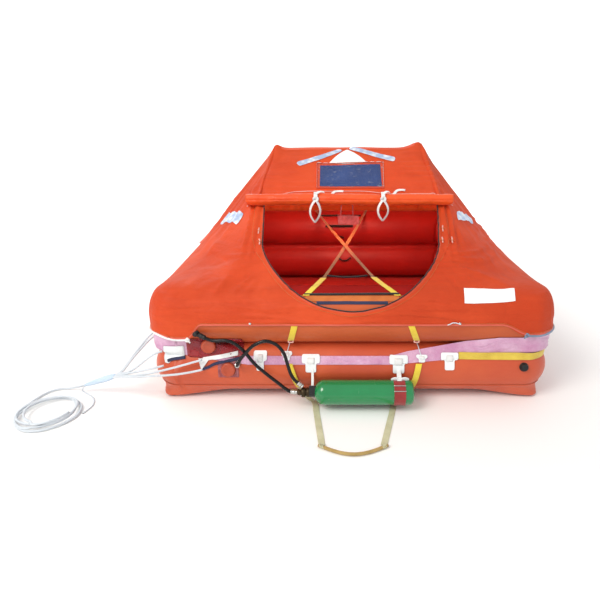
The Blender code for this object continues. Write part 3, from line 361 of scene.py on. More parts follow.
# Proofed cloths. pitch: metres between yarns; crease: size and depth of the small crinkles in
# metres; bare: how much light comes through; tints: the two colours that the cloth drifts between
cloths = {
    # Matt orange canopy cloth with a faint silk on its folds, lit through from above
    "canopy": {"name": "ripstop_nylon_polyurethane_coated", "tints": ("#EC5A2A", "#DE4C20"), "pitch": 0.0008,
               "rough": 0.58, "sheen": 0.0, "shine": 0.36, "crease": (0.034, 0.0018), "bare": 0.26,
               "spread": 1.6,
               # shade: the colour painted into the hollows of the streaks as painted shade
               "streaks": (3.6, 34.0, 0.0060), "shade": "#C23C14"},
    # Smooth rubbery tube cloth with a satin light along its top
    "tube": {"name": "buoyancy_tube_cloth_calendered", "tints": ("#C65A26", "#B64A1C"), "pitch": 0.0009,
             "rough": 0.40, "sheen": 0.05, "crease": (0.045, 0.0007), "bare": 0.0, "spread": 2.2},
    # The lower tube is redder and pinker, with the gloss of new proofing
    "lowerTube": {"name": "buoyancy_tube_cloth_proofed", "tints": ("#CE5A30", "#C04A2C"), "pitch": 0.0009,
                  "rough": 0.42, "sheen": 0.08, "crease": (0.040, 0.0007), "bare": 0.0, "spread": 2.0},
    # Lilac film band: thin, shiny and crumpled
    "band": {"name": "lilac_film_tape_heat_sealed", "tints": ("#DDB6CF", "#C488AE"), "pitch": 0.0007,
             "rough": 0.28, "sheen": 0.0, "crease": (0.016, 0.0026), "bare": 0.0, "spread": 9.0},
    # Underside cloth, wrapped up the lower tube, dull and slightly pink
    "wrap": {"name": "floor_cloth_proofed_matt", "tints": ("#CE5C38", "#BE4C2C"), "pitch": 0.0009,
             "rough": 0.48, "sheen": 0.10, "crease": (0.036, 0.0010), "bare": 0.0, "spread": 2.4},
    # Floor cloth painted deep red for the shade and the red light inside the canopy
    "floor": {"name": "floor_cloth_painted_shade", "tints": ("#C2403A", "#A83430"), "pitch": 0.0010,
              "rough": 0.5, "sheen": 0.05, "crease": (0.050, 0.0015), "bare": 0.0, "spread": 2.0},
    # Painted shade: deep red cloth over the inner side of both tubes, darkened and reddened for the shade and
    # the red light inside the canopy
    "innerShade": {"name": "red_inner_painted_shade", "tints": ("#B82C26", "#A3231F"), "pitch": 0.0009,
               "rough": 0.5, "sheen": 0.05, "crease": (0.050, 0.0012), "bare": 0.0, "spread": 2.4},
    # Reinforcing hem round the door, a shade deeper than the canopy
    "hem": {"name": "canopy_hem_tape_welded", "tints": ("#EA5626", "#DA481E"), "pitch": 0.0008,
            "rough": 0.42, "sheen": 0.05, "crease": (0.020, 0.0008), "bare": 0.10, "spread": 3.0},
    # The rolled flap is the brightest orange, slick where it is folded
    "rollCloth": {"name": "door_flap_nylon_polyurethane_coated", "tints": ("#F45E22", "#E84E18"),
                  "pitch": 0.0008,
                  "rough": 0.34, "sheen": 0.05, "crease": (0.024, 0.0022), "bare": 0.08, "spread": 2.2,
                  # shade: the colour painted into the hollows of the streaks as painted shade
                  "streaks": (3.0, 60.0, 0.0040), "shade": "#D04010"},
    # Rosy welded edges, faded where they were heated
    "rosy": {"name": "hem_edge_welded_faded", "tints": ("#D6624C", "#CC5038"), "pitch": 0.0008,
             "rough": 0.40, "sheen": 0.10, "crease": (0.018, 0.0006), "bare": 0.0, "spread": 3.5},
    # Almost white where a weld has been pressed hardest
    "rosyPale": {"name": "weld_line_pressed", "tints": ("#F3C2BA", "#E79C90"), "pitch": 0.0008,
                 "rough": 0.35, "sheen": 0.0, "crease": (0.018, 0.0004), "bare": 0.0, "spread": 5.0},
    # Milky, rosy vinyl of the label that hangs inside
    "clearRosy": {"name": "rosy_vinyl_frosted", "tints": ("#D08C92", "#B9686C"), "pitch": 0.0006,
                  "rough": 0.18, "sheen": 0.0, "crease": (0.018, 0.0016), "bare": 0.30, "spread": 12.0,
                  "clear": (0.45, 0.90)},
    # White coated patches with a soft shine
    "patch": {"name": "white_patch_vinyl_coated", "tints": ("#F2F6F6", "#E2E9EA"), "pitch": 0.0008,
              "rough": 0.38, "sheen": 0.05, "crease": (0.012, 0.0004), "bare": 0.0, "spread": 4.0},
    # See-through red cover over the inflation fittings
    "cover": {"name": "red_cover_vinyl_clear", "tints": ("#AE3436", "#98282E"), "pitch": 0.0008,
              "rough": 0.20, "sheen": 0.0, "crease": (0.040, 0.0012), "bare": 0.0, "spread": 4.0,
              "clear": (0.50, 0.86)},
    # Painted shade: a darker red band over the top of the front tube inside the door
    "sillShade": {"name": "sill_painted_shade_cloth", "tints": ("#9C1A16", "#8A1512"), "pitch": 0.0009,
              "rough": 0.8, "shine": 0.1, "sheen": 0.0, "crease": (0.050, 0.0012), "bare": 0.0,
              "spread": 2.4},
    # Strong blue of the sign's card
    "sign": {"name": "blue_sign_vinyl_matt", "tints": ("#20407E", "#122A5E"), "pitch": 0.0006,
             "rough": 0.42, "shine": 0.3, "sheen": 0.0, "crease": (0.040, 0.0010), "bare": 0.0,
             "spread": 3.0},
    # Bare white label
    "label": {"name": "white_label_vinyl_printed_side_bare", "tints": ("#F4F5F4", "#E9ECEC"), "pitch": 0.0006,
              "rough": 0.35, "sheen": 0.0, "crease": (0.020, 0.0004), "bare": 0.0, "spread": 3.0},
    # Arch tube cloth, painted darker and redder than the hull's for the shade and the red light inside the
    # canopy
    "arch": {"name": "arch_tube_cloth_painted_shade", "tints": ("#C8472A", "#B33A20"), "pitch": 0.0009,
             "rough": 0.42, "sheen": 0.05, "crease": (0.035, 0.0007), "bare": 0.0, "spread": 2.5},
}

# Webbings and tapes: a coarse rib across the strap
webbings = {
    "yellow": {"name": "yellow_webbing_polyester_woven", "tints": ("#F6DF45", "#E3C433"), "rough": 0.62},
    "lifeline": {"name": "lifeline_webbing_polyester_woven", "tints": ("#E9CE4E", "#CFAE38"), "rough": 0.60},
    # Painted shade: the yellow webbing darkened to ochre for the inner straps under the canopy
    "yellowInShade": {"name": "yellow_webbing_painted_shade", "tints": ("#96600E", "#7E4E0A"), "rough": 0.75},
    "orange": {"name": "orange_webbing_polyester_woven", "tints": ("#D9782A", "#BF5F1C"), "rough": 0.65},
    "cream": {"name": "cream_webbing_cotton_woven", "tints": ("#DAD9B6", "#BFBC94"), "rough": 0.80},
    "tan": {"name": "tan_webbing_cotton_rolled", "tints": ("#C3A566", "#9C7F42"), "rough": 0.80},
    "white": {"name": "white_tape_cotton_twill", "tints": ("#F6F7F5", "#DFE3E3"), "rough": 0.75},
    "red": {"name": "red_webbing_nylon_woven", "tints": ("#A82A28", "#861C1D"), "rough": 0.60},
    "black": {"name": "black_webbing_nylon_woven", "tints": ("#0F0F12", "#08080A"), "rough": 0.60},
    # Navy strips painted as shadow lines: beside the bridle's white tapes and along the sill's grip strip
    "navy": {"name": "navy_painted_shadow_strip", "tints": ("#1E2450", "#141A3C"), "rough": 0.60},
    "grey": {"name": "blue_grey_tape_polyester_woven", "tints": ("#8FA0B8", "#6F8098"), "rough": 0.65},
}

# Everything that is moulded, painted or plated
solids = {
    # Thick gloss paint with a slight orange-peel on the cylinder
    "enamel": {"name": "green_enamel_stove_painted", "tints": ("#0A8A4C", "#06743C"), "rough": 0.18,
               "metal": 0.0,
               "coat": 0.6, "grain": (0.0060, 0.00001)},
    # Dark bronze casting of the valve
    "bronze": {"name": "valve_bronze_cast", "tints": ("#5A4A34", "#2E2822"), "rough": 0.38, "metal": 0.9,
               "coat": 0.0, "grain": (0.0010, 0.00008)},
    # Bright ferrules and studs
    "nickel": {"name": "nickel_plated_brass_polished", "tints": ("#D6D6D2", "#B9BAB8"), "rough": 0.20,
               "metal": 1.0,
               "coat": 0.0, "grain": (0.0020, 0.00002)},
    # Hose rubber with a wet-looking light along its side
    "rubber": {"name": "black_rubber_extruded", "tints": ("#0D0D10", "#08080A"), "rough": 0.26, "metal": 0.0,
               "coat": 0.1, "shine": 0.28, "grain": (0.0015, 0.00004)},
    # Matt moulded stoppers
    "mould": {"name": "black_rubber_moulded", "tints": ("#0F0F11", "#09090B"), "rough": 0.42, "metal": 0.0,
              "coat": 0.0, "grain": (0.0008, 0.00006)},
    # Moulded caps, waxy red
    "cap": {"name": "red_polyethylene_moulded", "tints": ("#B84A28", "#A43C1E"), "rough": 0.36, "metal": 0.0,
            "coat": 0.1, "grain": (0.0012, 0.00004)},
    # Small pale plastic parts
    "clip": {"name": "pale_nylon_moulded", "tints": ("#EFB9AE", "#DBA093"), "rough": 0.35, "metal": 0.0,
             "coat": 0.1, "grain": (0.0010, 0.00003)},
}


def clothMaterial(look):
    made, tree, shader = surface(look["name"], {"Roughness": look["rough"], "Sheen Weight": look["sheen"],
                                                "Sheen Roughness": 0.5, "IOR": 1.46,
                                                "Specular IOR Level": look.get("shine", 0.5)})
    where = addNode(tree, "TexCoord")
    # Slow drift between the two dye tones, with a finer mottling over it
    drift = addNode(tree, "TexNoise", {"Scale": look["spread"], "Detail": 5.0, "Roughness": 0.62},
                    {"Vector": where.outputs["Object"]})
    steep = addNode(tree, "MapRange", {"From Min": 0.34, "From Max": 0.66}, {"Value": drift.outputs["Fac"]})
    tone = addNode(tree, "Mix", {"data_type": "RGBA", 6: toLinear(look["tints"][0]),
                                           7: toLinear(look["tints"][1])}, {0: steep.outputs["Result"]})
    tree.links.new(tone.outputs[2], shader.inputs["Base Color"])
    # Handling marks: patches a little duller than the rest
    wear = addNode(tree, "TexNoise", {"Scale": look["spread"] * 4, "Detail": 3.0},
                   {"Vector": where.outputs["Object"]})
    dull = addNode(tree, "MapRange", {"To Min": look["rough"] - 0.07, "To Max": look["rough"] + 0.10},
                   {"Value": wear.outputs["Fac"]})
    tree.links.new(dull.outputs["Result"], shader.inputs["Roughness"])
    # Plain weave from the cloth's own metres, one wave each way
    # a Wave texture repeats every pi / Scale at its default setting
    scale = 1 / look["pitch"] / 6.2832 * 3.1416
    heights = []
    for direction in ("X", "Y"):
        heights.append(addNode(tree, "TexWave", {"bands_direction": direction, "Scale": scale},
                               {"Vector": where.outputs["UV"]}))
    woven = addNode(tree, "Math", {"operation": "MULTIPLY"},
                    {0: heights[0].outputs["Fac"], 1: heights[1].outputs["Fac"]})
    weave = addNode(tree, "Bump", {"Strength": 0.25, "Distance": look["pitch"] * 0.2},
                    {"Height": woven.outputs[0]})
    # Crinkles too small for the mesh
    size, depth = look["crease"]
    crinkle = addNode(tree, "TexNoise", {"Scale": 1 / size, "Detail": 4.0, "Roughness": 0.55,
                                                   "Distortion": 0.6}, {"Vector": where.outputs["Object"]})
    folded = addNode(tree, "Bump", {"Strength": 0.9, "Distance": depth * 2},
                     {"Height": crinkle.outputs["Fac"], "Normal": weave.outputs["Normal"]})
    tree.links.new(folded.outputs["Normal"], shader.inputs["Normal"])
    if "streaks" in look:
        # Long shallow pulls that run level round the cloth, strong in some places and gone in others
        along, across, depth = look["streaks"]
        drawn = addNode(tree, "Mapping", {"Scale": (along, along, across)},
                        {"Vector": where.outputs["Object"]})
        pulls = addNode(tree, "TexNoise", {"Scale": 1.0, "Detail": 3.0, "Roughness": 0.6, "Distortion": 0.9},
                        {"Vector": drawn.outputs["Vector"]})
        shares = addNode(tree, "Math", {"operation": "MULTIPLY"},
                         {0: pulls.outputs["Fac"], 1: steep.outputs["Result"]})
        pulled = addNode(tree, "Bump", {"Strength": 1.0, "Distance": depth},
                         {"Height": shares.outputs[0], "Normal": folded.outputs["Normal"]})
        tree.links.new(pulled.outputs["Normal"], shader.inputs["Normal"])
        # Painted shade: the base colour darkens towards the shade colour inside each pull
        paintedShadeShare = addNode(tree, "MapRange", {"From Min": 0.16, "From Max": 0.42, "To Max": 0.36},
                         {"Value": shares.outputs[0]})
        deep = addNode(tree, "Mix", {"data_type": "RGBA", 7: toLinear(look["shade"])},
                       {0: paintedShadeShare.outputs["Result"], 6: tone.outputs[2]})
        tree.links.new(deep.outputs[2], shader.inputs["Base Color"])
    if "clear" in look:
        # Film that is thin in places and lets what is behind show through
        thin = addNode(tree, "MapRange", {"From Min": 0.35, "From Max": 0.62, "To Min": look["clear"][0],
                                                    "To Max": look["clear"][1]},
                       {"Value": crinkle.outputs["Fac"]})
        tree.links.new(thin.outputs["Result"], shader.inputs["Alpha"])
    if look["bare"]:
        # Light from behind glows through the thin cloth
        glow = addNode(tree, "BsdfTranslucent", None,
                       {"Color": tone.outputs[2], "Normal": folded.outputs["Normal"]})
        both = addNode(tree, "MixShader", {0: look["bare"]}, {1: shader.outputs[0], 2: glow.outputs[0]})
        tree.links.new(both.outputs[0], tree.nodes["Material Output"].inputs["Surface"])
    return made


def webbingMaterial(look):
    made, tree, shader = surface(look["name"], {"Roughness": look["rough"], "Sheen Weight": 0.3,
                                                "Sheen Roughness": 0.45, "IOR": 1.5})
    where = addNode(tree, "TexCoord")
    # Ribs 2.4 mm apart along the strap, coarser than the real 1.5 mm so that they can be seen
    ribs = addNode(tree, "TexWave", {"bands_direction": "Y", "Scale": 1 / 0.0024 / 2, "Distortion": 0.4},
                   {"Vector": where.outputs["UV"]})
    yarns = addNode(tree, "TexWave", {"bands_direction": "X", "Scale": 1 / 0.0018 / 2},
                    {"Vector": where.outputs["UV"]})
    woven = addNode(tree, "Math", {"operation": "MULTIPLY"},
                    {0: ribs.outputs["Fac"], 1: yarns.outputs["Fac"]})
    grime = addNode(tree, "TexNoise", {"Scale": 22.0, "Detail": 5.0}, {"Vector": where.outputs["Object"]})
    shade = addNode(tree, "Math", {"operation": "MULTIPLY_ADD", 1: 0.35}, {0: woven.outputs[0],
                                                                                    2: grime.outputs["Fac"]})
    part = addNode(tree, "MapRange", {"From Min": 0.35, "From Max": 0.85}, {"Value": shade.outputs[0]})
    tone = addNode(tree, "Mix", {"data_type": "RGBA", 6: toLinear(look["tints"][1]),
                                           7: toLinear(look["tints"][0])}, {0: part.outputs["Result"]})
    tree.links.new(tone.outputs[2], shader.inputs["Base Color"])
    raised = addNode(tree, "Bump", {"Strength": 0.6, "Distance": 0.0006}, {"Height": woven.outputs[0]})
    tree.links.new(raised.outputs["Normal"], shader.inputs["Normal"])
    return made


def solidMaterial(look):
    made, tree, shader = surface(look["name"], {"Roughness": look["rough"], "Metallic": look["metal"],
                                                "Specular IOR Level": look.get("shine", 0.5),
                                                "Coat Weight": look["coat"], "Coat Roughness": 0.08,
                                                "IOR": 1.5})
    where = addNode(tree, "TexCoord")
    drift = addNode(tree, "TexNoise", {"Scale": 9.0, "Detail": 5.0}, {"Vector": where.outputs["Object"]})
    tone = addNode(tree, "Mix", {"data_type": "RGBA", 6: toLinear(look["tints"][0]),
                                           7: toLinear(look["tints"][1])}, {0: drift.outputs["Fac"]})
    tree.links.new(tone.outputs[2], shader.inputs["Base Color"])
    scuffs = addNode(tree, "TexNoise", {"Scale": 60.0, "Detail": 6.0, "Roughness": 0.7},
                     {"Vector": where.outputs["Object"]})
    dull = addNode(tree, "MapRange", {"From Min": 0.45, "From Max": 0.75, "To Min": look["rough"],
                                                "To Max": look["rough"] + 0.14},
                   {"Value": scuffs.outputs["Fac"]})
    tree.links.new(dull.outputs["Result"], shader.inputs["Roughness"])
    size, depth = look["grain"]
    grain = addNode(tree, "TexNoise", {"Scale": 1 / size, "Detail": 2.0}, {"Vector": where.outputs["Object"]})
    skin = addNode(tree, "Bump", {"Strength": 0.5, "Distance": depth}, {"Height": grain.outputs["Fac"]})
    tree.links.new(skin.outputs["Normal"], shader.inputs["Normal"])
    return made


def ropeMaterial(name, tints):
    # White laid polyester, with a bluish painted shade between its strands
    made, tree, shader = surface(name, {"Roughness": 0.55, "Sheen Weight": 0.3, "IOR": 1.5})
    where = addNode(tree, "TexCoord")
    yarns = addNode(tree, "TexWave", {"bands_direction": "DIAGONAL", "Scale": 1 / 0.0012 / 2,
                                                "Distortion": 0.8}, {"Vector": where.outputs["UV"]})
    # Painted shade: the darker bluish tint lies in the grooves between the yarns
    tone = addNode(tree, "Mix", {"data_type": "RGBA", 6: toLinear(tints[1]), 7: toLinear(tints[0])},
                   {0: yarns.outputs["Fac"]})
    tree.links.new(tone.outputs[2], shader.inputs["Base Color"])
    raised = addNode(tree, "Bump", {"Strength": 0.5, "Distance": 0.0005}, {"Height": yarns.outputs["Fac"]})
    tree.links.new(raised.outputs["Normal"], shader.inputs["Normal"])
    return made


def reflectiveMaterial():
    # Silver-blue retroreflective tape, crumpled: painted pale highlights where it would catch light, painted
    # blue shade in its creases
    made, tree, shader = surface("retroreflective_tape_glass_bead",
                                 {"Metallic": 0.55, "Roughness": 0.28, "IOR": 1.5})
    where = addNode(tree, "TexCoord")
    cells = addNode(tree, "TexVoronoi", {"Scale": 1 / 0.026, "feature": "F1"},
                    {"Vector": where.outputs["Object"]})
    warp = addNode(tree, "TexNoise", {"Scale": 26.0, "Detail": 3.0}, {"Vector": where.outputs["Object"]})
    part = addNode(tree, "Math", {"operation": "MULTIPLY"},
                   {0: cells.outputs["Distance"], 1: warp.outputs["Fac"]})
    spread = addNode(tree, "MapRange", {"From Min": 0.05, "From Max": 0.35}, {"Value": part.outputs[0]})
    tone = addNode(tree, "Mix", {"data_type": "RGBA", 6: toLinear("#F4F8FC"), 7: toLinear("#B4C6E6")},
                   {0: spread.outputs["Result"]})
    tree.links.new(tone.outputs[2], shader.inputs["Base Color"])
    raised = addNode(tree, "Bump", {"Strength": 0.5, "Distance": 0.004}, {"Height": part.outputs[0]})
    tree.links.new(raised.outputs["Normal"], shader.inputs["Normal"])
    return made


def clearMaterial():
    # Clear vinyl of the sign's pocket: a thin gloss, with whitish patches on its crinkles painted as glints
    made, tree, shader = surface("clear_vinyl_pocket_calendered",
                                 {"Roughness": 0.10, "IOR": 1.45, "Alpha": 0.10})
    where = addNode(tree, "TexCoord")
    crinkle = addNode(tree, "TexNoise", {"Scale": 45.0, "Detail": 4.0, "Distortion": 1.2},
                      {"Vector": where.outputs["Object"]})
    # Painted reflection: the film turns more opaque, so whitish, where the crinkle noise is high
    paintedGlint = addNode(tree, "MapRange", {"From Min": 0.60, "From Max": 0.78, "To Min": 0.03, "To Max": 0.45},
                    {"Value": crinkle.outputs["Fac"]})
    tree.links.new(paintedGlint.outputs["Result"], shader.inputs["Alpha"])
    raised = addNode(tree, "Bump", {"Strength": 0.8, "Distance": 0.002}, {"Height": crinkle.outputs["Fac"]})
    tree.links.new(raised.outputs["Normal"], shader.inputs["Normal"])
    return made


makeCamera()
makeLight()
makeFloor()
paint = {key: clothMaterial(look) for key, look in cloths.items()}
strapPaint = {key: webbingMaterial(look) for key, look in webbings.items()}
solidPaint = {key: solidMaterial(look) for key, look in solids.items()}
# The second tint of each rope is painted shade between the yarns
ropePaint = ropeMaterial("white_rope_polyester_laid", ("#F8FBFD", "#C2D0DE"))
blueRope = ropeMaterial("pale_blue_whipping_polyester_laid", ("#E2EFFA", "#9CBEDE"))
reflective = reflectiveMaterial()
clearVinyl = clearMaterial()
print("camera, light and", len(bpy.data.materials), "materials are ready")


# Cords
# The solids' own routes, in metres
routes = {
    "hose_upper": [(-0.6050, -0.8590, 0.311), (-0.5800, -0.8640, 0.299), (-0.5470, -0.8680, 0.289),
                   (-0.5130, -0.8700, 0.291), (-0.4800, -0.8720, 0.288), (-0.4500, -0.8740, 0.270),
                   (-0.4210, -0.8740, 0.238), (-0.3880, -0.8740, 0.190), (-0.3380, -0.8760, 0.141),
                   (-0.2900, -0.8820, 0.102), (-0.2600, -0.8900, 0.0805), (-0.2410, -0.8942, 0.0732),
                   (-0.2194, -0.8945, 0.0725)],
    "hose_lower": [(-0.4590, -0.8650, 0.1770), (-0.4588, -0.8730, 0.1785), (-0.4520, -0.8835, 0.195),
                   (-0.4380, -0.8900, 0.221),
                   (-0.4160, -0.8945, 0.249), (-0.3850, -0.8960, 0.281), (-0.3400, -0.8950, 0.300),
                   (-0.2990, -0.8930, 0.286), (-0.2700, -0.8920, 0.250), (-0.2560, -0.8920, 0.203),
                   (-0.2450, -0.8930, 0.160), (-0.2300, -0.8945, 0.1310), (-0.2120, -0.8945, 0.1130),
                   (-0.1975, -0.8945, 0.0985)],
    "bridle_corner": [(-0.8385, -0.6900, 0.236), (-0.8500, -0.6960, 0.228), (-0.8680, -0.7080, 0.212),
                      (-0.8960, -0.7340, 0.182), (-0.9200, -0.7640, 0.155), (-0.9380, -0.7920, 0.1320),
                      (-0.9520, -0.8100, 0.1175), (-0.9664, -0.8168, 0.1092)],
    "bridle_patch": [(-0.7480, -0.8506, 0.1735), (-0.7650, -0.8560, 0.1720), (-0.8070, -0.8680, 0.166),
                     (-0.8500, -0.8590, 0.152), (-0.9000, -0.8450, 0.135), (-0.9400, -0.8342, 0.1210),
                     (-0.9711, -0.8257, 0.1084)],
    "bridle_cover": [(-0.4920, -0.8415, 0.206), (-0.5200, -0.8480, 0.200), (-0.5600, -0.8540, 0.188),
                     (-0.6100, -0.8620, 0.176), (-0.7000, -0.8760, 0.160), (-0.7900, -0.8830, 0.148),
                     (-0.8600, -0.8750, 0.135), (-0.9200, -0.8560, 0.122), (-0.9560, -0.8405, 0.1140),
                     (-0.9736, -0.8352, 0.1086)],
    "painter_lead": [(-1.1206, -0.7848, 0.0417), (-1.1450, -0.7785, 0.0315), (-1.1780, -0.7690, 0.0200),
                     (-1.2100, -0.7600, 0.0095), (-1.2400, -0.7560, 0.0062), (-1.2720, -0.7700, 0.0058),
                     (-1.2960, -0.8000, 0.0058), (-1.3120, -0.8380, 0.0058), (-1.3222, -0.8773, 0.0058)],
    "painter_tail": [(-1.1231, -0.7905, 0.0391), (-1.1350, -0.7900, 0.0260), (-1.1400, -0.7850, 0.0120),
                     (-1.1330, -0.7840, 0.0050), (-1.1120, -0.7980, 0.0035), (-1.0850, -0.8200, 0.0035),
                     (-1.0650, -0.8500, 0.0035), (-1.0580, -0.8850, 0.0035), (-1.0640, -0.9150, 0.0035),
                     (-1.0726, -0.9400, 0.0035)],
}
rope = {
    "thick": 0.0094,  # each of the two ropes in a bridle leg
    "painter": 0.0105,
    "thin": 0.006,  # the painter's tail
    "pair": 0.0051,  # a leg's two ropes lie this far to either side of its route
    # name: (how far apart they start, the x where they start, how much higher than the route)
    "legs": {"bridle_corner": (0.0060, 0.0, 0.0), "bridle_patch": (0.030, -0.750, 0.030),
             "bridle_cover": (0.019, -0.600, 0.0)},
    "hose": 0.0138,
    "spliceStart": (-0.9720, -0.8255, 0.1080),
    "spliceEnd": (-1.1200, -0.7850, 0.0420),
    "coilMiddle": (-1.205, -0.945),
    "strands": 3,
    "lay": 3.2,  # diameters in which a strand winds round once
    "coilTurns": 3.55,
    "turnR": (0.1190, 0.1120, 0.1030, 0.0900, 0.1020),  # radius after each turn
    "turnRise": 0.0066,
}


def strandMesh(name, path, diameter):
    # A laid rope: strands that wind round the route
    strands, lay = rope["strands"], diameter * rope["lay"]
    strandR = diameter / (1 + 1 / math.sin(math.pi / strands)) * 1.04
    away = diameter / 2 - strandR
    fine = evenSteps(path, diameter * 0.36)
    frames = framesAlong(fine)
    pieces = []
    walked = 0.0
    angles = []
    for k in range(len(fine)):
        if k:
            walked += (fine[k] - fine[k - 1]).length
        angles.append(2 * math.pi * walked / lay)
    for s in range(strands):
        start = 2 * math.pi * s / strands
        rows = []
        for point, (_, side, up), a in zip(fine, frames, angles):
            out = side * math.cos(a + start) + up * math.sin(a + start)
            across = up * math.cos(a + start) - side * math.sin(a + start)
            centre = point + out * away
            rows.append([centre + (out * math.cos(b) + across * math.sin(b)) * strandR
                         for b in (2 * math.pi * j / 7 for j in range(7))])
        pieces.append(faceOut(gridMesh(f"{name}_{s}", rows, closeAcross=True, caps=True)))
    return place(joined(name, pieces), ropePaint)


def coilRoute():
    # Loose turns thrown down one on the other
    middleX, middleY = rope["coilMiddle"]
    lead = smoothRoute(routes["painter_lead"], 0.012)
    startX, startY, startZ = lead[-1]
    startAngle = math.atan2(startY - middleY, startX - middleX)
    startR = math.hypot(startX - middleX, startY - middleY)
    points = []
    steps = round(rope["coilTurns"] * 44)
    for k in range(1, steps + 1):
        turn = k / 44
        a = startAngle + 2 * math.pi * turn
        loose = 0.0085 * math.sin(a + 2.3 * round(turn + 0.2) + 0.4) * smoothStep(0.5, 1.0, turn)
        loose += 0.0030 * math.sin(2 * a + 0.6) + 0.0022 * math.sin(3 * a + 1.9 * turn)
        radius = np.interp(turn, range(len(rope["turnR"])), rope["turnR"]) + loose
        radius = lerp(startR, radius, smoothStep(0.0, 0.16, turn))
        z = startZ + rope["turnRise"] * smoothStep(0.2, 1.0, turn) * turn
        points.append(Vector((middleX + radius * math.cos(a), middleY + radius * math.sin(a), z)))
    return lead[:-1] + points


def makeCords():
    for name, (spreadOut, startX, higher) in rope["legs"].items():
        # Each leg is one rope led out and back, so two ropes lie side by side
        middle = [point for point in smoothRoute(routes[name], rope["thick"]) if point.x < startX]
        for side in (-1, 1):
            path = []
            for k, (point, (_, across, _)) in enumerate(zip(middle, framesAlong(middle))):
                share = smoothStep(0, 0.75, k / len(middle))
                apart = Vector((0, 0, lerp(side * spreadOut + higher, 0, share))) + across * (side
                        * rope["pair"])
                path.append(point + apart)
            end = "_out" if side < 0 else "_back"
            leg = strandMesh(name.replace("bridle", "bridle_leg") + end, path, rope["thick"])
            if side < 0:
                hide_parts(name)
    # The painter starts inside the splice, where the three legs meet
    inSplice = [Vector(rope["spliceStart"]).lerp(Vector(rope["spliceEnd"]), t)
                for t in np.linspace(0.06, 0.94, 8)]
    painterPath = evenSteps(inSplice + coilRoute(), rope["painter"])
    painter = strandMesh("painter_rope", painterPath, rope["painter"])
    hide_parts("painter_lead", "painter_coil")
    tailPath = smoothRoute(routes["painter_tail"], rope["thin"])
    tail = strandMesh("painter_tail_rope", tailPath, rope["thin"])
    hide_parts("painter_tail")
    # The splice: the three legs tucked into one, then whipped with thin pale blue line
    start, end = Vector(rope["spliceStart"]), Vector(rope["spliceEnd"])
    outline = [(0, 0.0150, 0.0070), (0.12, 0.0190, 0.0120), (0.35, 0.0185, 0.0130),
               (0.70, 0.0140, 0.0110), (0.92, 0.0120, 0.0080), (1, 0.0105, 0.0060)]
    along = (end - start).normalized()
    side = along.cross(Vector((0, 0, 1))).normalized()
    rise = side.cross(along)
    rows = []
    for t in np.linspace(0, 1, 60):
        wide = np.interp(t, [o[0] for o in outline], [o[1] for o in outline])
        high = np.interp(t, [o[0] for o in outline], [o[2] for o in outline])
        row = []
        for k in range(36):
            a = 2 * math.pi * k / 36
            # Six ropes side by side, winding slowly
            bulge = 1 - 0.10 * (1 - abs(math.cos(3 * (a + 2.6 * t)))) ** 1.5
            row.append(start.lerp(end, t) + side * (wide * bulge * math.cos(a)) + rise
                       * (high * bulge * math.sin(a)))
        rows.append(row)
    splice = place(faceOut(gridMesh("painter_splice", rows, closeAcross=True, caps=True)), blueRope,
                   ["rope_splice"])
    for name in ("hose_upper", "hose_lower"):
        path = smoothRoute(routes[name], 0.006)
        hose = sweep(name + "_tube", path, circleSection(rope["hose"] / 2, 20))
        place(hose, solidPaint["rubber"], [name])
    print("cords laid: painter", round(pathLength(painterPath), 2), "m")


makeCords()


# Tubes, floor and band
def cornerRadius(offset):
    share = (offset + hull["tubeR"]) / (2 * hull["tubeR"])
    return lerp(hull["cornerInner"], hull["cornerOuter"], share)


def narrowed(x):
    return x - math.copysign(hull["narrow"] * smoothStep(0.55, 0.84, abs(x)), x)


def planRing(half, radius, perSide=48, cornerSteps=14):
    # Anticlockwise from the front's left end; every ring has the same count of points
    ring = []
    for turn in range(4):
        c, s = round(math.cos(turn * math.pi / 2)), round(math.sin(turn * math.pi / 2))
        straight = half - radius
        side = [(straight * (2 * k / perSide - 1), -half) for k in range(perSide)]
        corner = []
        for k in range(cornerSteps + 1):
            a = math.radians(-90 + 90 * k / cornerSteps)
            corner.append((straight + radius * math.cos(a), -straight + radius * math.sin(a)))
        ring += [(x * c - y * s, x * s + y * c) for x, y in side + corner]
    return [(narrowed(x), y) for x, y in ring]


tubeLook = {
    "sides": 52,
    "creaseDeep": 0.0030,  # puckers on the inside of each corner
    "creaseCount": 11,
    "restless": 0.0010,
}


def tubePiece(name, centreZ, material, node):
    rows = []
    lowSide = centreZ < contactZ
    for k in range(tubeLook["sides"]):
        a = 2 * math.pi * k / tubeLook["sides"]
        offset = hull["tubeR"] * math.cos(a)
        ring = planRing(axisHalf + offset, cornerRadius(offset))
        row = []
        for x, y in ring:
            # Puckers run round the tube where it bends, deepest on the inner side
            near = smoothStep(0.50, 0.66, min(abs(x), abs(y)))
            turn = math.atan2(abs(y) - 0.50, abs(x) - 0.50)
            inner = max(0.0, -math.cos(a)) ** 0.6
            pucker = tubeLook["creaseDeep"] * near * inner * max(0.0,
                                                                 math.cos(turn * 4 * tubeLook["creaseCount"]
                                                                         / 2))
            drift = tubeLook["restless"] * noiseAt(x * 4, y * 4, centreZ * 9 + a)
            depth = max(0.0, pucker + max(0.0, drift))
            out = (hull["tubeR"] - depth) / hull["tubeR"]
            px = x - math.copysign(min(abs(offset), 0.115) * (1 - out), x) * math.copysign(1,
                    offset) * (abs(x) > abs(y))
            py = y - math.copysign(min(abs(offset), 0.115) * (1 - out), y) * math.copysign(1,
                    offset) * (abs(y) >= abs(x))
            z = centreZ + (hull["tubeR"] - depth) * math.sin(a)
            z = min(z, contactZ - 0.00015) if lowSide else max(z, contactZ + 0.00015)
            row.append((px, py, z))
        rows.append(row)
    piece = faceOut(gridMesh(name, rows, closeAcross=True, closeAlong=True))
    return place(piece, material, [node])


innerShade = {"lift": 0.0009, "lowFrom": -64, "lowTo": 60, "highFrom": -60, "highTo": 118}


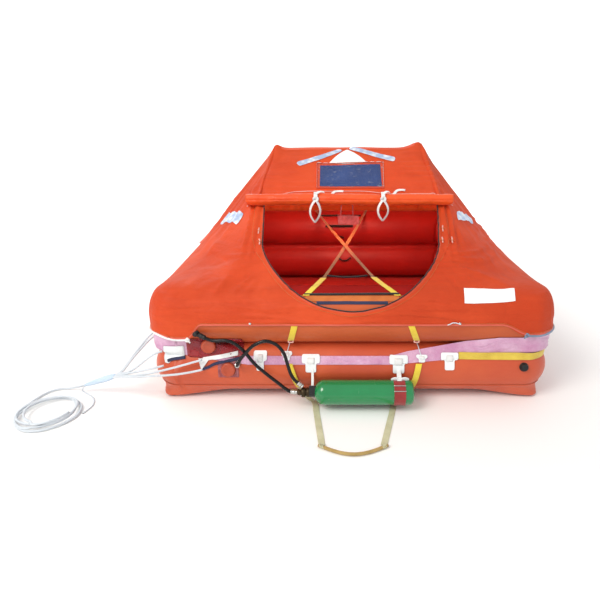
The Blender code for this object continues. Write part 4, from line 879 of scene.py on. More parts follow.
def innerShadePiece():
    # Painted shade: deep red cloth over the inner side of both tubes, up to where a boarding person rolls
    # over the front
    rows = []
    for centreZ, first, last, steps in ((hull["lowerZ"], innerShade["lowFrom"], innerShade["lowTo"], 20),
                                        (hull["upperZ"], innerShade["highFrom"], innerShade["highTo"], 30)):
        for k in range(steps + 1):
            a = math.radians(lerp(first, last, k / steps))
            radius = hull["tubeR"] + innerShade["lift"]
            offset, z = -radius * math.cos(a), centreZ + radius * math.sin(a)
            row = []
            for x, y in planRing(axisHalf + offset, cornerRadius(offset)):
                swell = 0.0012 * max(0.0, noiseAt(x * 7, y * 7, z * 12))
                row.append((x * (1 - swell), y * (1 - swell), z + swell * math.sin(a)))
            rows.append(row)
    piece = gridMesh("tube_inner_painted_shade", rows, closeAcross=True)
    return place(piece, paint["innerShade"])


wrapLook = {
    "outer": hull["tubeR"] + 0.0027,
    "seamDeg": -32.0,
    "footCorner": 0.035,
    "footStart": 0.50,
    "footFull": 0.68,
    "pucker": 0.0016,
}


def wrapPiece():
    steps = 20
    rows = []
    for k in range(steps + 1):
        a = math.radians(lerp(wrapLook["seamDeg"], -90, k / steps))
        radius = wrapLook["outer"]
        offset, z = radius * math.cos(a), hull["lowerZ"] + radius * math.sin(a)
        ring = planRing(axisHalf + offset, cornerRadius(offset))
        depth = smoothStep(math.radians(-wrapLook["seamDeg"]), math.radians(62), -a)
        footOffset = max(offset, radius * math.sqrt(abs(math.cos(a))) * 0.96)
        footZ = hull["lowerZ"] - hull["lowerZ"] * math.sqrt(abs(math.sin(a)))
        foot = planRing(axisHalf + footOffset, lerp(cornerRadius(offset), wrapLook["footCorner"], depth))
        row = []
        for (x, y), (fx, fy) in zip(ring, foot):
            t = depth * smoothStep(wrapLook["footStart"], wrapLook["footFull"], min(abs(x), abs(y)))
            px, py, pz = lerp(x, fx, t), lerp(y, fy, t), lerp(z, min(footZ, z), t)
            # Pulls from each foot along the side, and small gathers under the seam
            reach = max(abs(x), abs(y))
            gather = noiseAt(px * 9, py * 9, k * 0.35)
            pull = wrapLook["pucker"] * (0.4 + 0.9 * t) * gather * math.sin(math.pi * min(1, k / steps * 1.2))
            grow = 1 + max(-0.001, pull) / reach
            row.append((px * grow, py * grow, max(0.0, pz)))
        rows.append(row)
    piece = faceOut(gridMesh("floor_wrap_cloth", rows, closeAcross=True))
    place(piece, paint["wrap"], ["floor_wrap"], 0.0012, -1)
    # The doubled, welded edge where the wrap ends on the tube
    rows = []
    for share, up in ((-1, 0.0), (-0.85, 0.0004), (0.0, 0.0006), (0.85, 0.0004), (1, 0.0)):
        a = math.radians(wrapLook["seamDeg"] - 2.2) + share * 0.055
        radius = wrapLook["outer"] + up + (0.0004 if share < 1 else -0.0016)
        offset, z = radius * math.cos(a), hull["lowerZ"] + radius * math.sin(a)
        rows.append([(x, y, z) for x, y in planRing(axisHalf + offset, cornerRadius(min(offset, 0.12)))])
    edge = faceOut(gridMesh("floor_wrap_edge", rows, closeAcross=True))
    place(edge, paint["wrap"])
    return piece


floorLook = {"flatHalf": 0.560, "edgeZ": 0.0115, "thick": 0.003, "billow": 0.011, "cells": 64}


def floorPiece():
    # A loose sheet between the tubes, lying in shallow billows
    cells = floorLook["cells"]
    edge = axisHalf - 0.0003
    rows = []
    for j in range(cells + 1):
        row = []
        for i in range(cells + 1):
            u, v = 2 * i / cells - 1, 2 * j / cells - 1
            x, y = u * edge, v * edge
            reach = max(abs(u), abs(v)) * edge
            base = np.interp(reach, [floorLook["flatHalf"], 0.66, edge], [0.0, 0.004, floorLook["edgeZ"]])
            swell = 0.5 + 0.5 * noiseAt(x * 3.1, y * 3.1, 4.2)
            ripple = max(0.0, noiseAt(x * 9 + 3, y * 9, 1.1)) * 0.35
            fade = 1 - smoothStep(0.60, 0.72, reach)
            row.append((x, y, base + floorLook["thick"] + floorLook["billow"] * (swell * 0.6 + ripple)
                        * fade))
        rows.append(row)
    piece = gridMesh("raft_floor_cloth", rows)
    place(piece, paint["floor"], ["floor_sheet"])


band = {
    "bottomZ": 0.205,
    "topZ": 0.285,
    "dipBottom": 0.035,
    "dipTop": 0.084,
    "dip": ((-0.70, 0.0), (-0.42, 1.0), (0.16, 1.0), (0.60, 0.0)),
    "outer": hull["tubeR"] + 0.0022,
    "crinkle": 0.0026,
    "taut": 0.1120,  # how far out the film stands round the hull's corners
    "cornerUp": 0.026,
    # Stretches of the front that patches and straps press flat: (middle x, half width)
    "pressed": ((-0.370, 0.045), (-0.263, 0.036), (-0.165, 0.052), (0.190, 0.052), (0.284, 0.038),
                (0.396, 0.050),
                (-0.552, 0.130), (-0.718, 0.060)),
}


def bandProfile(x, y):
    dip = 0.0
    if y < -axisHalf and band["dip"][0][0] < x < band["dip"][-1][0]:
        dip = np.interp(x, [d[0] for d in band["dip"]], [d[1] for d in band["dip"]])
    return band["bottomZ"] - band["dipBottom"] * dip, band["topZ"] - band["dipTop"] * dip


def tubeHalf(z, radius):
    centre = hull["lowerZ"] if z < contactZ else hull["upperZ"]
    return axisHalf + math.sqrt(max(0.0, radius ** 2 - (z - centre) ** 2))


def bandHalf(z, low, high, radius, corner=0.0):
    # Straight over the crease between the tubes, against the tubes elsewhere
    top = max(tubeHalf(high, radius), axisHalf + 0.0785 + radius - hull["tubeR"])
    chord = max(lerp(tubeHalf(low, radius), top, (z - low) / (high - low)), tubeHalf(z, radius))
    return lerp(chord, axisHalf + band["taut"], corner * smoothStep(low, low + 0.022, z))


def bandPiece():
    steps = 22
    base = planRing(hull["half"], hull["cornerOuter"], perSide=190, cornerSteps=26)
    rows = []
    for k in range(steps + 1):
        share = k / steps
        row = []
        for i, (bx, by) in enumerate(base):
            low, high = bandProfile(bx, by)
            corner = smoothStep(0.68, 0.80, min(abs(bx), abs(by)))
            high += band["cornerUp"] * corner
            z = lerp(low, high, share)
            # The film is drawn taut round the hull's corners
            half = bandHalf(z, low, high, band["outer"], corner)
            # Diagonal crumples that die out at the welded edges and under what lies on the band
            along = i * 0.0085
            slant = noiseAt(along * 30 + z * 95, z * 34 - along * 6, 0.7)
            cross = noiseAt(along * 34 - z * 80, z * 30 + along * 8, 5.1)
            fold = (1 - abs(slant) * 2.6) * 0.7 + (1 - abs(cross) * 2.6) * 0.45
            free = math.sin(math.pi * share) ** 0.55
            if by <= -axisHalf:
                free *= min([1.0] + [smoothStep(w * 0.8, w + 0.022, abs(bx - m)) for m, w in band["pressed"]])
                if bx > 0.36:
                    free *= smoothStep(0.219, 0.232, z)
            else:
                free *= smoothStep(0.219, 0.234, z)
            half += band["crinkle"] * max(-0.25, fold) * free * 1.25
            row.append((bx * half / hull["half"], by * half / hull["half"], z))
        rows.append(row)
    piece = faceOut(gridMesh("fascia_band_film", rows, closeAcross=True))
    place(piece, paint["band"], ["fascia_band"])
    return piece


lowerTube = tubePiece("lower_tube_skin", hull["lowerZ"], paint["lowerTube"], "lower_tube")
upperTube = tubePiece("upper_tube_skin", hull["upperZ"], paint["tube"], "upper_tube")
innerShadePiece()
wrapCloth = wrapPiece()
floorPiece()
bandFilm = bandPiece()
print("tubes, floor and band are on")


# Canopy: one continuous sheet
canopy = {
    "drapeR": 0.1175,
    "ridgeZ": 0.945,
    "slope": 0.628,
    "foldX": 0.365,
    "foldSpread": 0.165,  # the folds splay towards the front and back
    "sideX": 0.800,
    "sideZ": 0.450,
    "hornLift": (0.019, 0.030),  # left, right
    "hornWide": (0.028, 0.054),
    "bridge": (0.014, 0.026),  # how softly the tent leaves the tube, mid-side and at the corners
    "hemZ": 0.345,
    "hemCornerZ": (0.288, 0.304),  # left, right
    "hemCornerRise": (0.015, 0.004),
    "cornerFull": 0.0070,
    "cornerRound": 0.0035,  # swells the corners between their shoulder and their widest line
    "soften": 0.010,  # rounding of the folds
    "middleCols": 84,
    "outerCols": 46,
    "rowsPerSide": 86,
    "skirtRows": 24,
}
tentHalf = axisHalf + canopy["drapeR"] * math.cos(math.radians(45))
door = {
    "halfW": 0.378,
    "topLeft": 0.387,
    "topRight": 0.401,
    "topZ": 0.722,
    "kneeZ": 0.600,  # the bowl starts here
    "bottomZ": 0.400,
    "power": 1.6,  # 2 would make the bowl an ellipse
    "hem": 0.048,
}
wrinkles = {
    "roofRipple": 0.0032,
    "doorFolds": 0.0080,
    "cornerRays": 0.0115,
    "sideRays": 0.0075,
    "sillFolds": 0.0042,
    "gathers": 0.0022,
    "sag": 0.0070,
}


def roofZ(y):
    return canopy["ridgeZ"] - canopy["slope"] * abs(y)


def tentHeight(x, y):
    share = min(1.0, abs(y) / (axisHalf + 0.061))
    ridge = roofZ(y)
    fold = canopy["foldX"] + canopy["foldSpread"] * abs(y)
    beyond = abs(x) - fold
    eased = 0.5 * (beyond + math.sqrt(beyond ** 2 + canopy["soften"] ** 2))
    height = ridge + eased / (canopy["sideX"] - fold) * (canopy["sideZ"] - ridge)
    side = 1 if x > 0 else 0
    horn = canopy["hornLift"][side] * bump01(abs(x), canopy["foldX"] - 0.004,
                                             canopy["hornWide"][side]) * bump01(y, 0.0, 0.060)
    # Between the horns the ridge cloth hangs a little
    return height + horn * (1 - share)


def offsetAt(x, y):
    # Distance outward from the tube's middle line, by halving
    low, high = -0.9 * hull["tubeR"], canopy["drapeR"] + 0.02
    for _ in range(24):
        mid = (low + high) / 2
        half, radius = axisHalf + mid, cornerRadius(mid)
        px, py = abs(x) - (half - radius), abs(y) - (half - radius)
        inside = math.hypot(max(px, 0), max(py, 0)) + min(max(px, py), 0) < radius
        low, high = (low, mid) if inside else (mid, high)
    return (low + high) / 2


def drapeHeight(x, y):
    if max(abs(x), abs(y)) < axisHalf - 0.8 * hull["tubeR"]:
        return -1.0
    offset = offsetAt(x, y)
    if abs(offset) > canopy["drapeR"] or offset < -0.8 * hull["tubeR"]:
        return -1.0
    return hull["upperZ"] + math.sqrt(canopy["drapeR"] ** 2 - offset ** 2)


def roundCorner(x, y, half, radius):
    px, py = abs(x) - (half - radius), abs(y) - (half - radius)
    if px > 0 and py > 0:
        k = max(px, py) / math.hypot(px, py)
        x = math.copysign(half - radius + px * k, x)
        y = math.copysign(half - radius + py * k, y)
    return x, y


def columnX(col, y):
    fold = canopy["foldX"] + canopy["foldSpread"] * min(abs(y), 0.8)
    middle = canopy["middleCols"] // 2
    if abs(col) <= middle:
        return col / middle * fold
    share = (abs(col) - middle) / canopy["outerCols"]
    return math.copysign(fold + share * (tentHalf - fold), col)


def wrinkleAt(x, y, z):
    # Metres of lift along the cloth's normal
    ax = abs(x)
    fold = canopy["foldX"] + canopy["foldSpread"] * abs(y)
    down = abs(y) * 1.18
    lift = 0.0
    patchy = noiseAt(x * 2.6, down * 3.4, 2.0)
    if ax < fold + 0.02:
        # Roof and front: fine ripples across, strongest where the cloth is slack
        warp = 2.2 * noiseAt(x * 3.0, down * 5.0, 7.0)
        waves = math.sin(2 * math.pi * down / 0.036 + warp + 0.8 * noiseAt(x * 9, down * 9, 1.0))
        lift += wrinkles["roofRipple"] * waves * smoothStep(-0.20, 0.35, patchy) * smoothStep(0.035, 0.09,
                abs(y))
    lift += wrinkles["roofRipple"] * 1.5 * noiseAt(x * 5.5, down * 7.5, 3.3)
    front = y < 0
    if front and z < 0.80:
        # Upright folds beside the jambs
        beside = ax - door["halfW"]
        env = smoothStep(-0.01, 0.02, beside) * (1 - smoothStep(0.07, 0.12, beside))
        env *= smoothStep(0.52, 0.62, z) * (1 - smoothStep(0.74, 0.80, z))
        lift += wrinkles["doorFolds"] * env * math.sin(2 * math.pi * (beside + 0.012 * patchy) / 0.034)
        # Rays from the door's lower corners to the hull's corners
        dx, dz = ax - 0.27, z - 0.585
        reach = math.hypot(dx, dz)
        angle = math.degrees(math.atan2(-dz, dx))
        env = smoothStep(0.10, 0.20, reach) * (1 - smoothStep(0.44, 0.58, reach))
        env *= smoothStep(-8, 8, angle) * (1 - smoothStep(70, 95, angle))
        sharp = ridged(noiseAt(angle * 0.150, reach * 1.8, math.copysign(3.0, x)) * 1.6)
        lift += wrinkles["cornerRays"] * env * (sharp - 0.35)
        # Slack rows under the sill
        env = (1 - smoothStep(0.38, 0.56, ax)) * (1 - smoothStep(0.40, 0.46, z)) * smoothStep(0.345, 0.365, z)
        lift += wrinkles["sillFolds"] * env * max(-0.2, ridged(noiseAt(x * 3.2, z * 40, 8.0) * 1.6))
    if not front and z < 0.86:
        # Rear panel: pulls from the horns to the rear corners and round the lookout
        dx, dz = ax - 0.30, z - 0.86
        angle = math.degrees(math.atan2(-dz, dx))
        reach = math.hypot(dx, dz)
        env = smoothStep(0.10, 0.25, reach) * smoothStep(20, 40, angle)
        lift += wrinkles["cornerRays"] * 0.8 * env * (ridged(noiseAt(angle * 0.10, reach * 1.4, 11.0) * 1.5)
                                                      - 0.4)
    if ax > fold:
        # Side panels: rays from the horn down to the tube, and the whole cloth drawn in slightly
        dy, dn = y, (ax - canopy["foldX"]) * 1.45 + 0.02
        angle = math.degrees(math.atan2(dy, dn))
        reach = math.hypot(dy, dn)
        env = smoothStep(0.06, 0.18, reach) * smoothStep(0.0, 0.03, ax - fold)
        lift += wrinkles["sideRays"] * env * (ridged(noiseAt(angle * 0.085, reach * 1.2,
                                                             math.copysign(6.0, x)) * 1.5) - 0.45)
        middle = math.sin(math.pi * min(1.0, max(0.0, (ax - fold) / (0.80 - fold))))
        lift -= wrinkles["sag"] * middle * smoothStep(0.06, 0.22,
                                                      abs(y)) * (1 - smoothStep(0.60, 0.72, abs(y)))
    # The label keeps the cloth under it flat
    lift *= 1 - 0.85 * bump01(x, 0.545, 0.19) * bump01(y, -0.785, 0.09)
    # Near the arch and the tubes the cloth lies against them and can't go in
    arch = 1 - smoothStep(0.03, 0.10, abs(y))
    lift = max(lift, -0.009 + 0.003 * arch)
    return lift


def canopyPoints():
    cols = range(-(canopy["middleCols"] // 2) - canopy["outerCols"],
                 canopy["middleCols"] // 2 + canopy["outerCols"] + 1)
    ys = [tentHalf * k / canopy["rowsPerSide"]
          for k in range(-canopy["rowsPerSide"], canopy["rowsPerSide"] + 1)]
    radius = cornerRadius(tentHalf - axisHalf)
    base = np.zeros((len(ys), len(cols), 3))
    for j, y in enumerate(ys):
        for i, col in enumerate(cols):
            px, py = roundCorner(columnX(col, y), y, tentHalf, radius)
            tent, drape = tentHeight(px, py), drapeHeight(px, py)
            apart = tent - drape
            bridge = lerp(*canopy["bridge"], smoothStep(0.60, 0.76, min(abs(px), abs(py))))
            base[j, i] = (px, py, 0.5 * (tent + drape + math.sqrt(apart ** 2 + bridge ** 2)))
    du = np.gradient(base, axis=1)
    dv = np.gradient(base, axis=0)
    normal = np.cross(du, dv)
    normal /= np.linalg.norm(normal, axis=2, keepdims=True) + 1e-12
    for j in range(len(ys)):
        for i in range(len(cols)):
            x, y, z = base[j, i]
            edge = 1 - smoothStep(0.93, 1.0,
                                  max(abs(i * 2 / (len(cols) - 1) - 1), abs(j * 2 / (len(ys) - 1) - 1)))
            drape = smoothStep(0.462, 0.50, z)
            lift = wrinkleAt(x, y, z)
            if drape < 1:
                lift = lerp(max(lift, -0.001), lift, drape)
            full = canopy["cornerFull"] * smoothStep(0.52, 0.78, min(abs(x), abs(y))) * (1 - drape)
            base[j, i] += normal[j, i] * (lift * edge + full)
            base[j, i, 0] = narrowed(base[j, i, 0])
    return base


def hemAt(x, y):
    # Level along each side, drawn down towards the corners
    reach = min(abs(x), abs(y))
    side = 1 if x > 0 else 0
    low = lerp(canopy["hemZ"], canopy["hemCornerZ"][side],
               smoothStep((0.594, 0.588)[side], (0.652, 0.700)[side], reach))
    return low + canopy["hemCornerRise"][side] * smoothStep(0.690, 0.790, reach)


def skirtRows(base):
    # From the tent's edge over the tube and down to the hem, gathered where the hull turns
    rows, cols = base.shape[:2]
    edge = [(0, i) for i in range(cols)] + [(j, cols - 1) for j in range(1, rows)]
    edge += [(rows - 1, i) for i in range(cols - 2, -1, -1)] + [(j, 0) for j in range(rows - 2, 0, -1)]
    plain = []
    for j, i in edge:
        y = tentHalf * (j / canopy["rowsPerSide"] - 1)
        plain.append((columnX(i - (cols - 1) // 2, y) / tentHalf, y / tentHalf))
    levels = []
    over = canopy["skirtRows"] - 4
    for k in range(canopy["skirtRows"] + 1):
        a = math.radians(45 * (1 - min(1.0, k / over)))
        drop = max(0.0, (k - over) / 4)
        offset = canopy["drapeR"] * math.cos(a)
        half = axisHalf + offset
        row = []
        for index, (fx, fy) in enumerate(plain):
            px, py = roundCorner(fx * half, fy * half, half, cornerRadius(offset))
            corner = smoothStep(0.60, 0.78, min(abs(px), abs(py)))
            hem = hemAt(px, py)
            z = hull["upperZ"] + canopy["drapeR"] * math.sin(a)
            z = lerp(z, hem, drop)
            # The corners stand fuller than the tube under them, down to its widest line
            full = canopy["cornerFull"] * corner * smoothStep(0.20, 0.76, a)
            full += canopy["cornerRound"] * corner * math.sin(4 * a)
            z += full * math.sin(a)
            along = index * 0.0095
            gather = ridged(noiseAt(along * 16, z * 7, 1.4) * 1.5)
            out = wrinkles["gathers"] * max(-0.1,
                                            gather) * (0.6 + 0.4 * corner) * (0.35 + 0.65 * k / over
                                                    if k < over else 1)
            if py < -abs(px):
                # Slack level folds under the door's sill
                slack = 1 - smoothStep(0.34, 0.56, abs(px))
                slack *= smoothStep(0.0, 0.12, a) + 0.3
                fold = ridged(noiseAt(px * 3.0 + 2.0, z * 42 + px * 3, 8.0) * 1.7)
                out += wrinkles["sillFolds"] * slack * max(-0.25, fold)
            out += 0.0025 * corner * drop * (0.5 + noiseAt(along * 7, 0, 9.0))
            grow = 1 + (max(-0.0010, out) + full * math.cos(a)) / half
            row.append((narrowed(px * grow), py * grow, z))
        levels.append(row)
    # The skirt leaves the roof's edge smoothly, also where the cloth spans a corner above the tube
    steps = [Vector(base[j, i]) - Vector(point) for (j, i), point in zip(edge, levels[0])]
    for k, level in enumerate(levels):
        share = 1 - smoothStep(0, 0.85 * over, k)
        levels[k] = [tuple(Vector(point) + step * share) for point, step in zip(level, steps)]
    return edge, levels[1:]


def canopyMesh():
    base = canopyPoints()
    rows, cols = base.shape[:2]
    edge, levels = skirtRows(base)
    points = [tuple(p) for p in base.reshape(-1, 3)]
    faces = [(j * cols + i, j * cols + i + 1, (j + 1) * cols + i + 1, (j + 1) * cols + i)
             for j in range(rows - 1) for i in range(cols - 1)]
    above = [j * cols + i for j, i in edge]
    for level in levels:
        here = list(range(len(points), len(points) + len(level)))
        points += level
        for k in range(len(level)):
            n = (k + 1) % len(level)
            faces.append((above[n], above[k], here[k], here[n]))
        above = here
    mesh = bpy.data.meshes.new("canopy_cloth")
    mesh.from_pydata(points, [], faces)
    # Cloth metres for the weave: plan distance stretched by the slope is near enough
    layer = mesh.uv_layers.new(name="cloth")
    uvs = []
    for face in faces:
        for v in face:
            x, y, z = points[v]
            steep = abs(x) > abs(y)
            uvs.append((y if steep else x, math.hypot(x, 1.2 * z) if steep else math.hypot(y, 1.2 * z)))
    layer.data.foreach_set("uv", np.array(uvs).ravel())
    return faceOut(pieceFrom(mesh))


def doorOutline(steps=40):
    points = [(door["topRight"], door["topZ"]), (-door["topLeft"], door["topZ"])]
    for k in range(steps + 1):
        a = math.pi * k / steps
        x = -door["halfW"] * math.copysign(abs(math.cos(a)) ** (2 / door["power"]), math.cos(a))
        z = door["kneeZ"] - (door["kneeZ"] - door["bottomZ"]) * math.sin(a) ** (2 / door["power"])
        points.append((x, z))
    return points


def cutDoor(piece):
    outline = doorOutline()
    work = bmesh.new()
    work.from_mesh(piece.data)
    count = len(outline)
    for k in range(count):
        (x0, z0), (x1, z1) = outline[k], outline[(k + 1) % count]
        normal = Vector((z1 - z0, 0, x0 - x1))
        if normal.length < 1e-6:
            continue
        lowX, highX, lowZ, highZ = min(x0, x1) - 0.014, max(x0, x1) + 0.014, min(z0, z1) - 0.014, max(z0,
                z1) + 0.014
        near = [f for f in work.faces if f.calc_center_median().y < -0.15
                and lowX < f.calc_center_median().x < highX and lowZ < f.calc_center_median().z < highZ]
        geom = set(near)
        for f in near:
            geom.update(f.edges)
            geom.update(f.verts)
        bmesh.ops.bisect_plane(work, geom=list(geom), dist=1e-5, plane_co=(x0, 0, z0),
                               plane_no=normal.normalized())

    def inside(x, z):
        hit = False
        for k in range(count):
            (x0, z0), (x1, z1) = outline[k], outline[(k + 1) % count]
            if (z0 > z) != (z1 > z) and x < (x1 - x0) * (z - z0) / (z1 - z0) + x0:
                hit = not hit
        return hit

    gone = []
    for f in work.faces:
        c = f.calc_center_median()
        if c.y < -0.15 and inside(c.x, c.z):
            gone.append(f)
    bmesh.ops.delete(work, geom=gone, context="FACES")
    work.to_mesh(piece.data)
    work.free()


canopyCloth = canopyMesh()
canopyTree = treeOf(canopyCloth)
cutDoor(canopyCloth)
place(canopyCloth, paint["canopy"],
      ["canopy_door_panel", "canopy_rear_panel", "canopy_left_panel", "canopy_right_panel"])


def onFront(x, z, lift=0.0):
    hit, normal, *_ = canopyTree.ray_cast(Vector((x, -1.4, z)), Vector((0, 1, 0)))
    if normal.y > 0:
        normal = -normal
    return hit + normal * lift


def onRoof(x, y, lift=0.0):
    hit, normal, *_ = canopyTree.ray_cast(Vector((x, y, 2.0)), Vector((0, 0, -1)))
    if normal.z < 0:
        normal = -normal
    return hit + normal * lift


# Pieces that lie on the tubes
skinTree = treeOf(bandFilm, lowerTube, upperTube, wrapCloth)


def turned(turn, x, y, z):
    c, s = round(math.cos(math.radians(turn))), round(math.sin(math.radians(turn)))
    return Vector((x * c - y * s, x * s + y * c, z))


def onSkin(x, z, lift=0.0, turn=0):
    # A point on the raft's outer face; turn 90 is the right side, 180 the rear, -90 the left
    start = turned(turn, x, -1.5, z)
    inward = turned(turn, 0, 1, 0)
    hit, normal, *_ = skinTree.ray_cast(start, inward)
    if normal.dot(inward) > 0:
        normal = -normal
    return hit + normal * lift


def lyingPiece(name, rows, lift, thick, material, replaced=(), turn=0):
    # rows: (z, list of x) from the top down; a thin piece that follows what it lies on
    points = [[onSkin(x, z, lift + thick, turn) for x in xs] for z, xs in rows]
    place(gridMesh(name, points), material, replaced, thick, -1)


def teeHalfWidth(depth, height, wide, narrow):
    # Half width of a T patch at a depth below its top, with every corner rounded
    head, r, fillet = 0.45 * height, 0.0070, 0.0050
    if depth < r:
        return wide - r + math.sqrt(max(0.0, r * r - (r - depth) ** 2))
    if depth < head - r:
        return wide
    if depth < head:
        return wide - r + math.sqrt(max(0.0, r * r - (depth - head + r) ** 2))
    if depth < head + fillet:
        rest = depth - head
        return narrow + fillet - math.sqrt(max(0.0, fillet ** 2 - (fillet - rest) ** 2))
    if depth > height - r:
        return narrow - r + math.sqrt(max(0.0, r * r - (depth - height + r) ** 2))
    return narrow


def teePatch(name, x, top, bottom, wide, narrow, lift, turn=0):
    height = top - bottom
    head = 0.45 * height
    marks = [0, 0.0004, 0.0012, 0.0026, 0.0045, 0.0070, head / 2 + 0.0035, head - 0.0070, head - 0.0045,
             head - 0.0026,
             head - 0.0012, head - 0.0003, head + 0.0002, head + 0.0012, head + 0.0030, head + 0.0050]
    marks += [lerp(head + 0.005, height - 0.007, t) for t in (0.25, 0.5, 0.75, 1.0)]
    marks += [height - 0.0045, height - 0.0026, height - 0.0012, height - 0.0004, height]
    rows = []
    for depth in sorted(set(m for m in marks if 0 <= m <= height)):
        half = max(0.001, teeHalfWidth(depth, height, wide / 2, narrow / 2))
        rows.append((top - depth, [x + half * t for t in (-1, -0.94, -0.6, -0.3, 0, 0.3, 0.6, 0.94, 1)]))
    lyingPiece(name + "_cloth", rows, lift, 0.0018, paint["patch"], [name], turn)
    # The webbing loop that each patch carries: a low bight over its tab
    loop = []
    for share, rise in ((0.0, 0.0008), (0.2, 0.0030), (0.5, 0.0042), (0.8, 0.0030), (1.0, 0.0008)):
        z = lerp(top - head * 0.35, top - head - 0.006, share)
        loop.append([onSkin(x + narrow * 0.34 * t, z, lift + 0.0020 + rise, turn)
                     for t in (-1, -0.5, 0, 0.5, 1)])
    place(gridMesh(name + "_bight", loop), strapPaint["white"], (), 0.0010, -1)


patchLift = 0.0008
frontPatches = {
    # name: (middle x, top z, bottom z, head width, tab width)
    "patch_hose": (-0.370, 0.216, 0.146, 0.054, 0.030),
    "patch_boarding_left": (-0.263, 0.214, 0.184, 0.044, 0.026),
    "patch_cylinder_left": (-0.165, 0.205, 0.139, 0.073, 0.043),
    "patch_cylinder_right": (0.190, 0.203, 0.135, 0.075, 0.046),
    "patch_boarding_right": (0.284, 0.206, 0.177, 0.046, 0.026),
    "patch_lifeline_front": (0.396, 0.216, 0.148, 0.070, 0.039),
}
for name, shape in frontPatches.items():
    teePatch(name, *shape, patchLift)


# Lifeline
lifeline = {"lowZ": 0.190, "highZ": 0.219, "end": 0.432, "lift": 0.0014, "thick": 0.0016, "sag": 0.004,
            "slack": 0.0030}


def lifelinePiece():
    # From the front patch to the right, round the rear and up the left side
    ring = planRing(hull["half"], hull["cornerOuter"], perSide=120, cornerSteps=20)
    per = 120 + 21
    chosen = [p for k, p in enumerate(ring[:per]) if p[0] > lifeline["end"]]
    chosen = [(lifeline["end"], -hull["half"])] + chosen + ring[per : per * 3]
    chosen += [p for p in ring[per * 3 :] if p[1] >
               -lifeline["end"]] + [(narrowed(-hull["half"]), -lifeline["end"])]
    rows = []
    for k, (x, y) in enumerate(chosen):
        inward = inwardAt(chosen[max(k - 1, 0)], chosen[min(k + 1, len(chosen) - 1)])
        # Free of the sewn spots at the patches, the webbing stands off and sags a little
        loose = 0.0
        for spot in (-lifeline["end"], lifeline["end"]):
            loose = max(loose, bump01(x if abs(y) > abs(x) else y, spot, 0.06))
        loose = (1 - loose) * (0.6 + 0.6 * noiseAt(x * 3, y * 3, 2.2))
        start = Vector((x, y, 0)) - inward * 0.4
        row, hits = [], []
        shares = (0, 0.06, 0.25, 0.5, 0.75, 0.94, 1)
        for share in shares:
            z = lerp(lifeline["lowZ"], lifeline["highZ"], share) - lifeline["sag"] * max(0.0, loose)
            hits.append(skinTree.ray_cast(Vector((start.x, start.y, z)), inward)[0])
        # Round a corner the strap is pulled straight up and down
        furthest = max(-hit.dot(inward) for hit in hits)
        corner = smoothStep(0.66, 0.78, min(abs(x), abs(y)))
        for share, hit in zip(shares, hits):
            hit = hit - inward * ((furthest + hit.dot(inward)) * corner)
            lift = lifeline["lift"] + lifeline["thick"]
            lift += lifeline["slack"] * max(0.0, loose) * math.sin(math.pi * (share * 0.7 + 0.15))
            row.append(hit - inward * lift)
        rows.append(row)
    place(faceOut(gridMesh("lifeline_strap", rows)), strapPaint["lifeline"],
          ["lifeline_webbing"], lifeline["thick"], -1)


lifelinePiece()
for side, turn in (("right", 90), ("rear", 180), ("left", -90)):
    for spot, x in (("a", -lifeline["end"]), ("b", lifeline["end"])):
        teePatch(f"patch_{side}_{spot}", x, 0.226, 0.158, 0.070, 0.039, 0.0040, turn)


def bridlePatch():
    outline = [(0.250, -0.756, -0.674), (0.230, -0.757, -0.675), (0.205, -0.760, -0.676),
               (0.194, -0.762, -0.682),
               (0.190, -0.762, -0.702), (0.186, -0.762, -0.722), (0.180, -0.759, -0.732),
               (0.172, -0.756, -0.740)]
    rows = []
    for z in np.linspace(0.250, 0.172, 34):
        left = np.interp(-z, [-o[0] for o in outline], [o[1] for o in outline])
        right = np.interp(-z, [-o[0] for o in outline], [o[2] for o in outline])
        inset = 0.006 - math.sqrt(max(0.0, 0.006 ** 2 - max(0.0, 0.006 - (0.250 - z)) ** 2))
        rows.append((z, list(np.linspace(left + inset, right - inset, 9))))
    lyingPiece("patch_bridle_cloth", rows, patchLift, 0.0018, paint["patch"],
               ["patch_bridle"])


bridlePatch()

# Inflation cover and its caps
cover = {"left": -0.664, "right": -0.440, "top": 0.280, "bottom": 0.196, "corner": 0.012}


def coverPiece():
    rows = []
    for z in np.linspace(cover["top"], cover["bottom"], 26):
        near = min(cover["top"] - z, z - cover["bottom"])
        inset = 0.0
        if near < cover["corner"]:
            inset = cover["corner"] - math.sqrt(max(0.0,
                                                    cover["corner"] ** 2 - (cover["corner"] - near) ** 2))
        rows.append((z, list(np.linspace(cover["left"] + inset, cover["right"] - inset, 60))))
    points = []
    for z, xs in rows:
        line = []
        for x in xs:
            puff = 0.0016 * ridged(noiseAt(x * 26 + z * 60, z * 40, 3.0))
            edge = smoothStep(0.0, 0.010,
                              min(cover["top"] - z, z - cover["bottom"], x - cover["left"],
                                  cover["right"] - x))
            line.append(onSkin(x, z, 0.0024 + max(0.0, puff) * edge))
        points.append(line)
    place(gridMesh("inflation_cover_film", points), paint["cover"], ["inflation_cover"],
          0.0010, -1)


coverPiece()
# A square of the same film under the lower cap
lyingPiece("cap_film_square",
           [(z, list(np.linspace(-0.541, -0.457, 14))) for z in np.linspace(0.186, 0.116, 14)], 0.0006,
           0.0008, paint["clearRosy"])


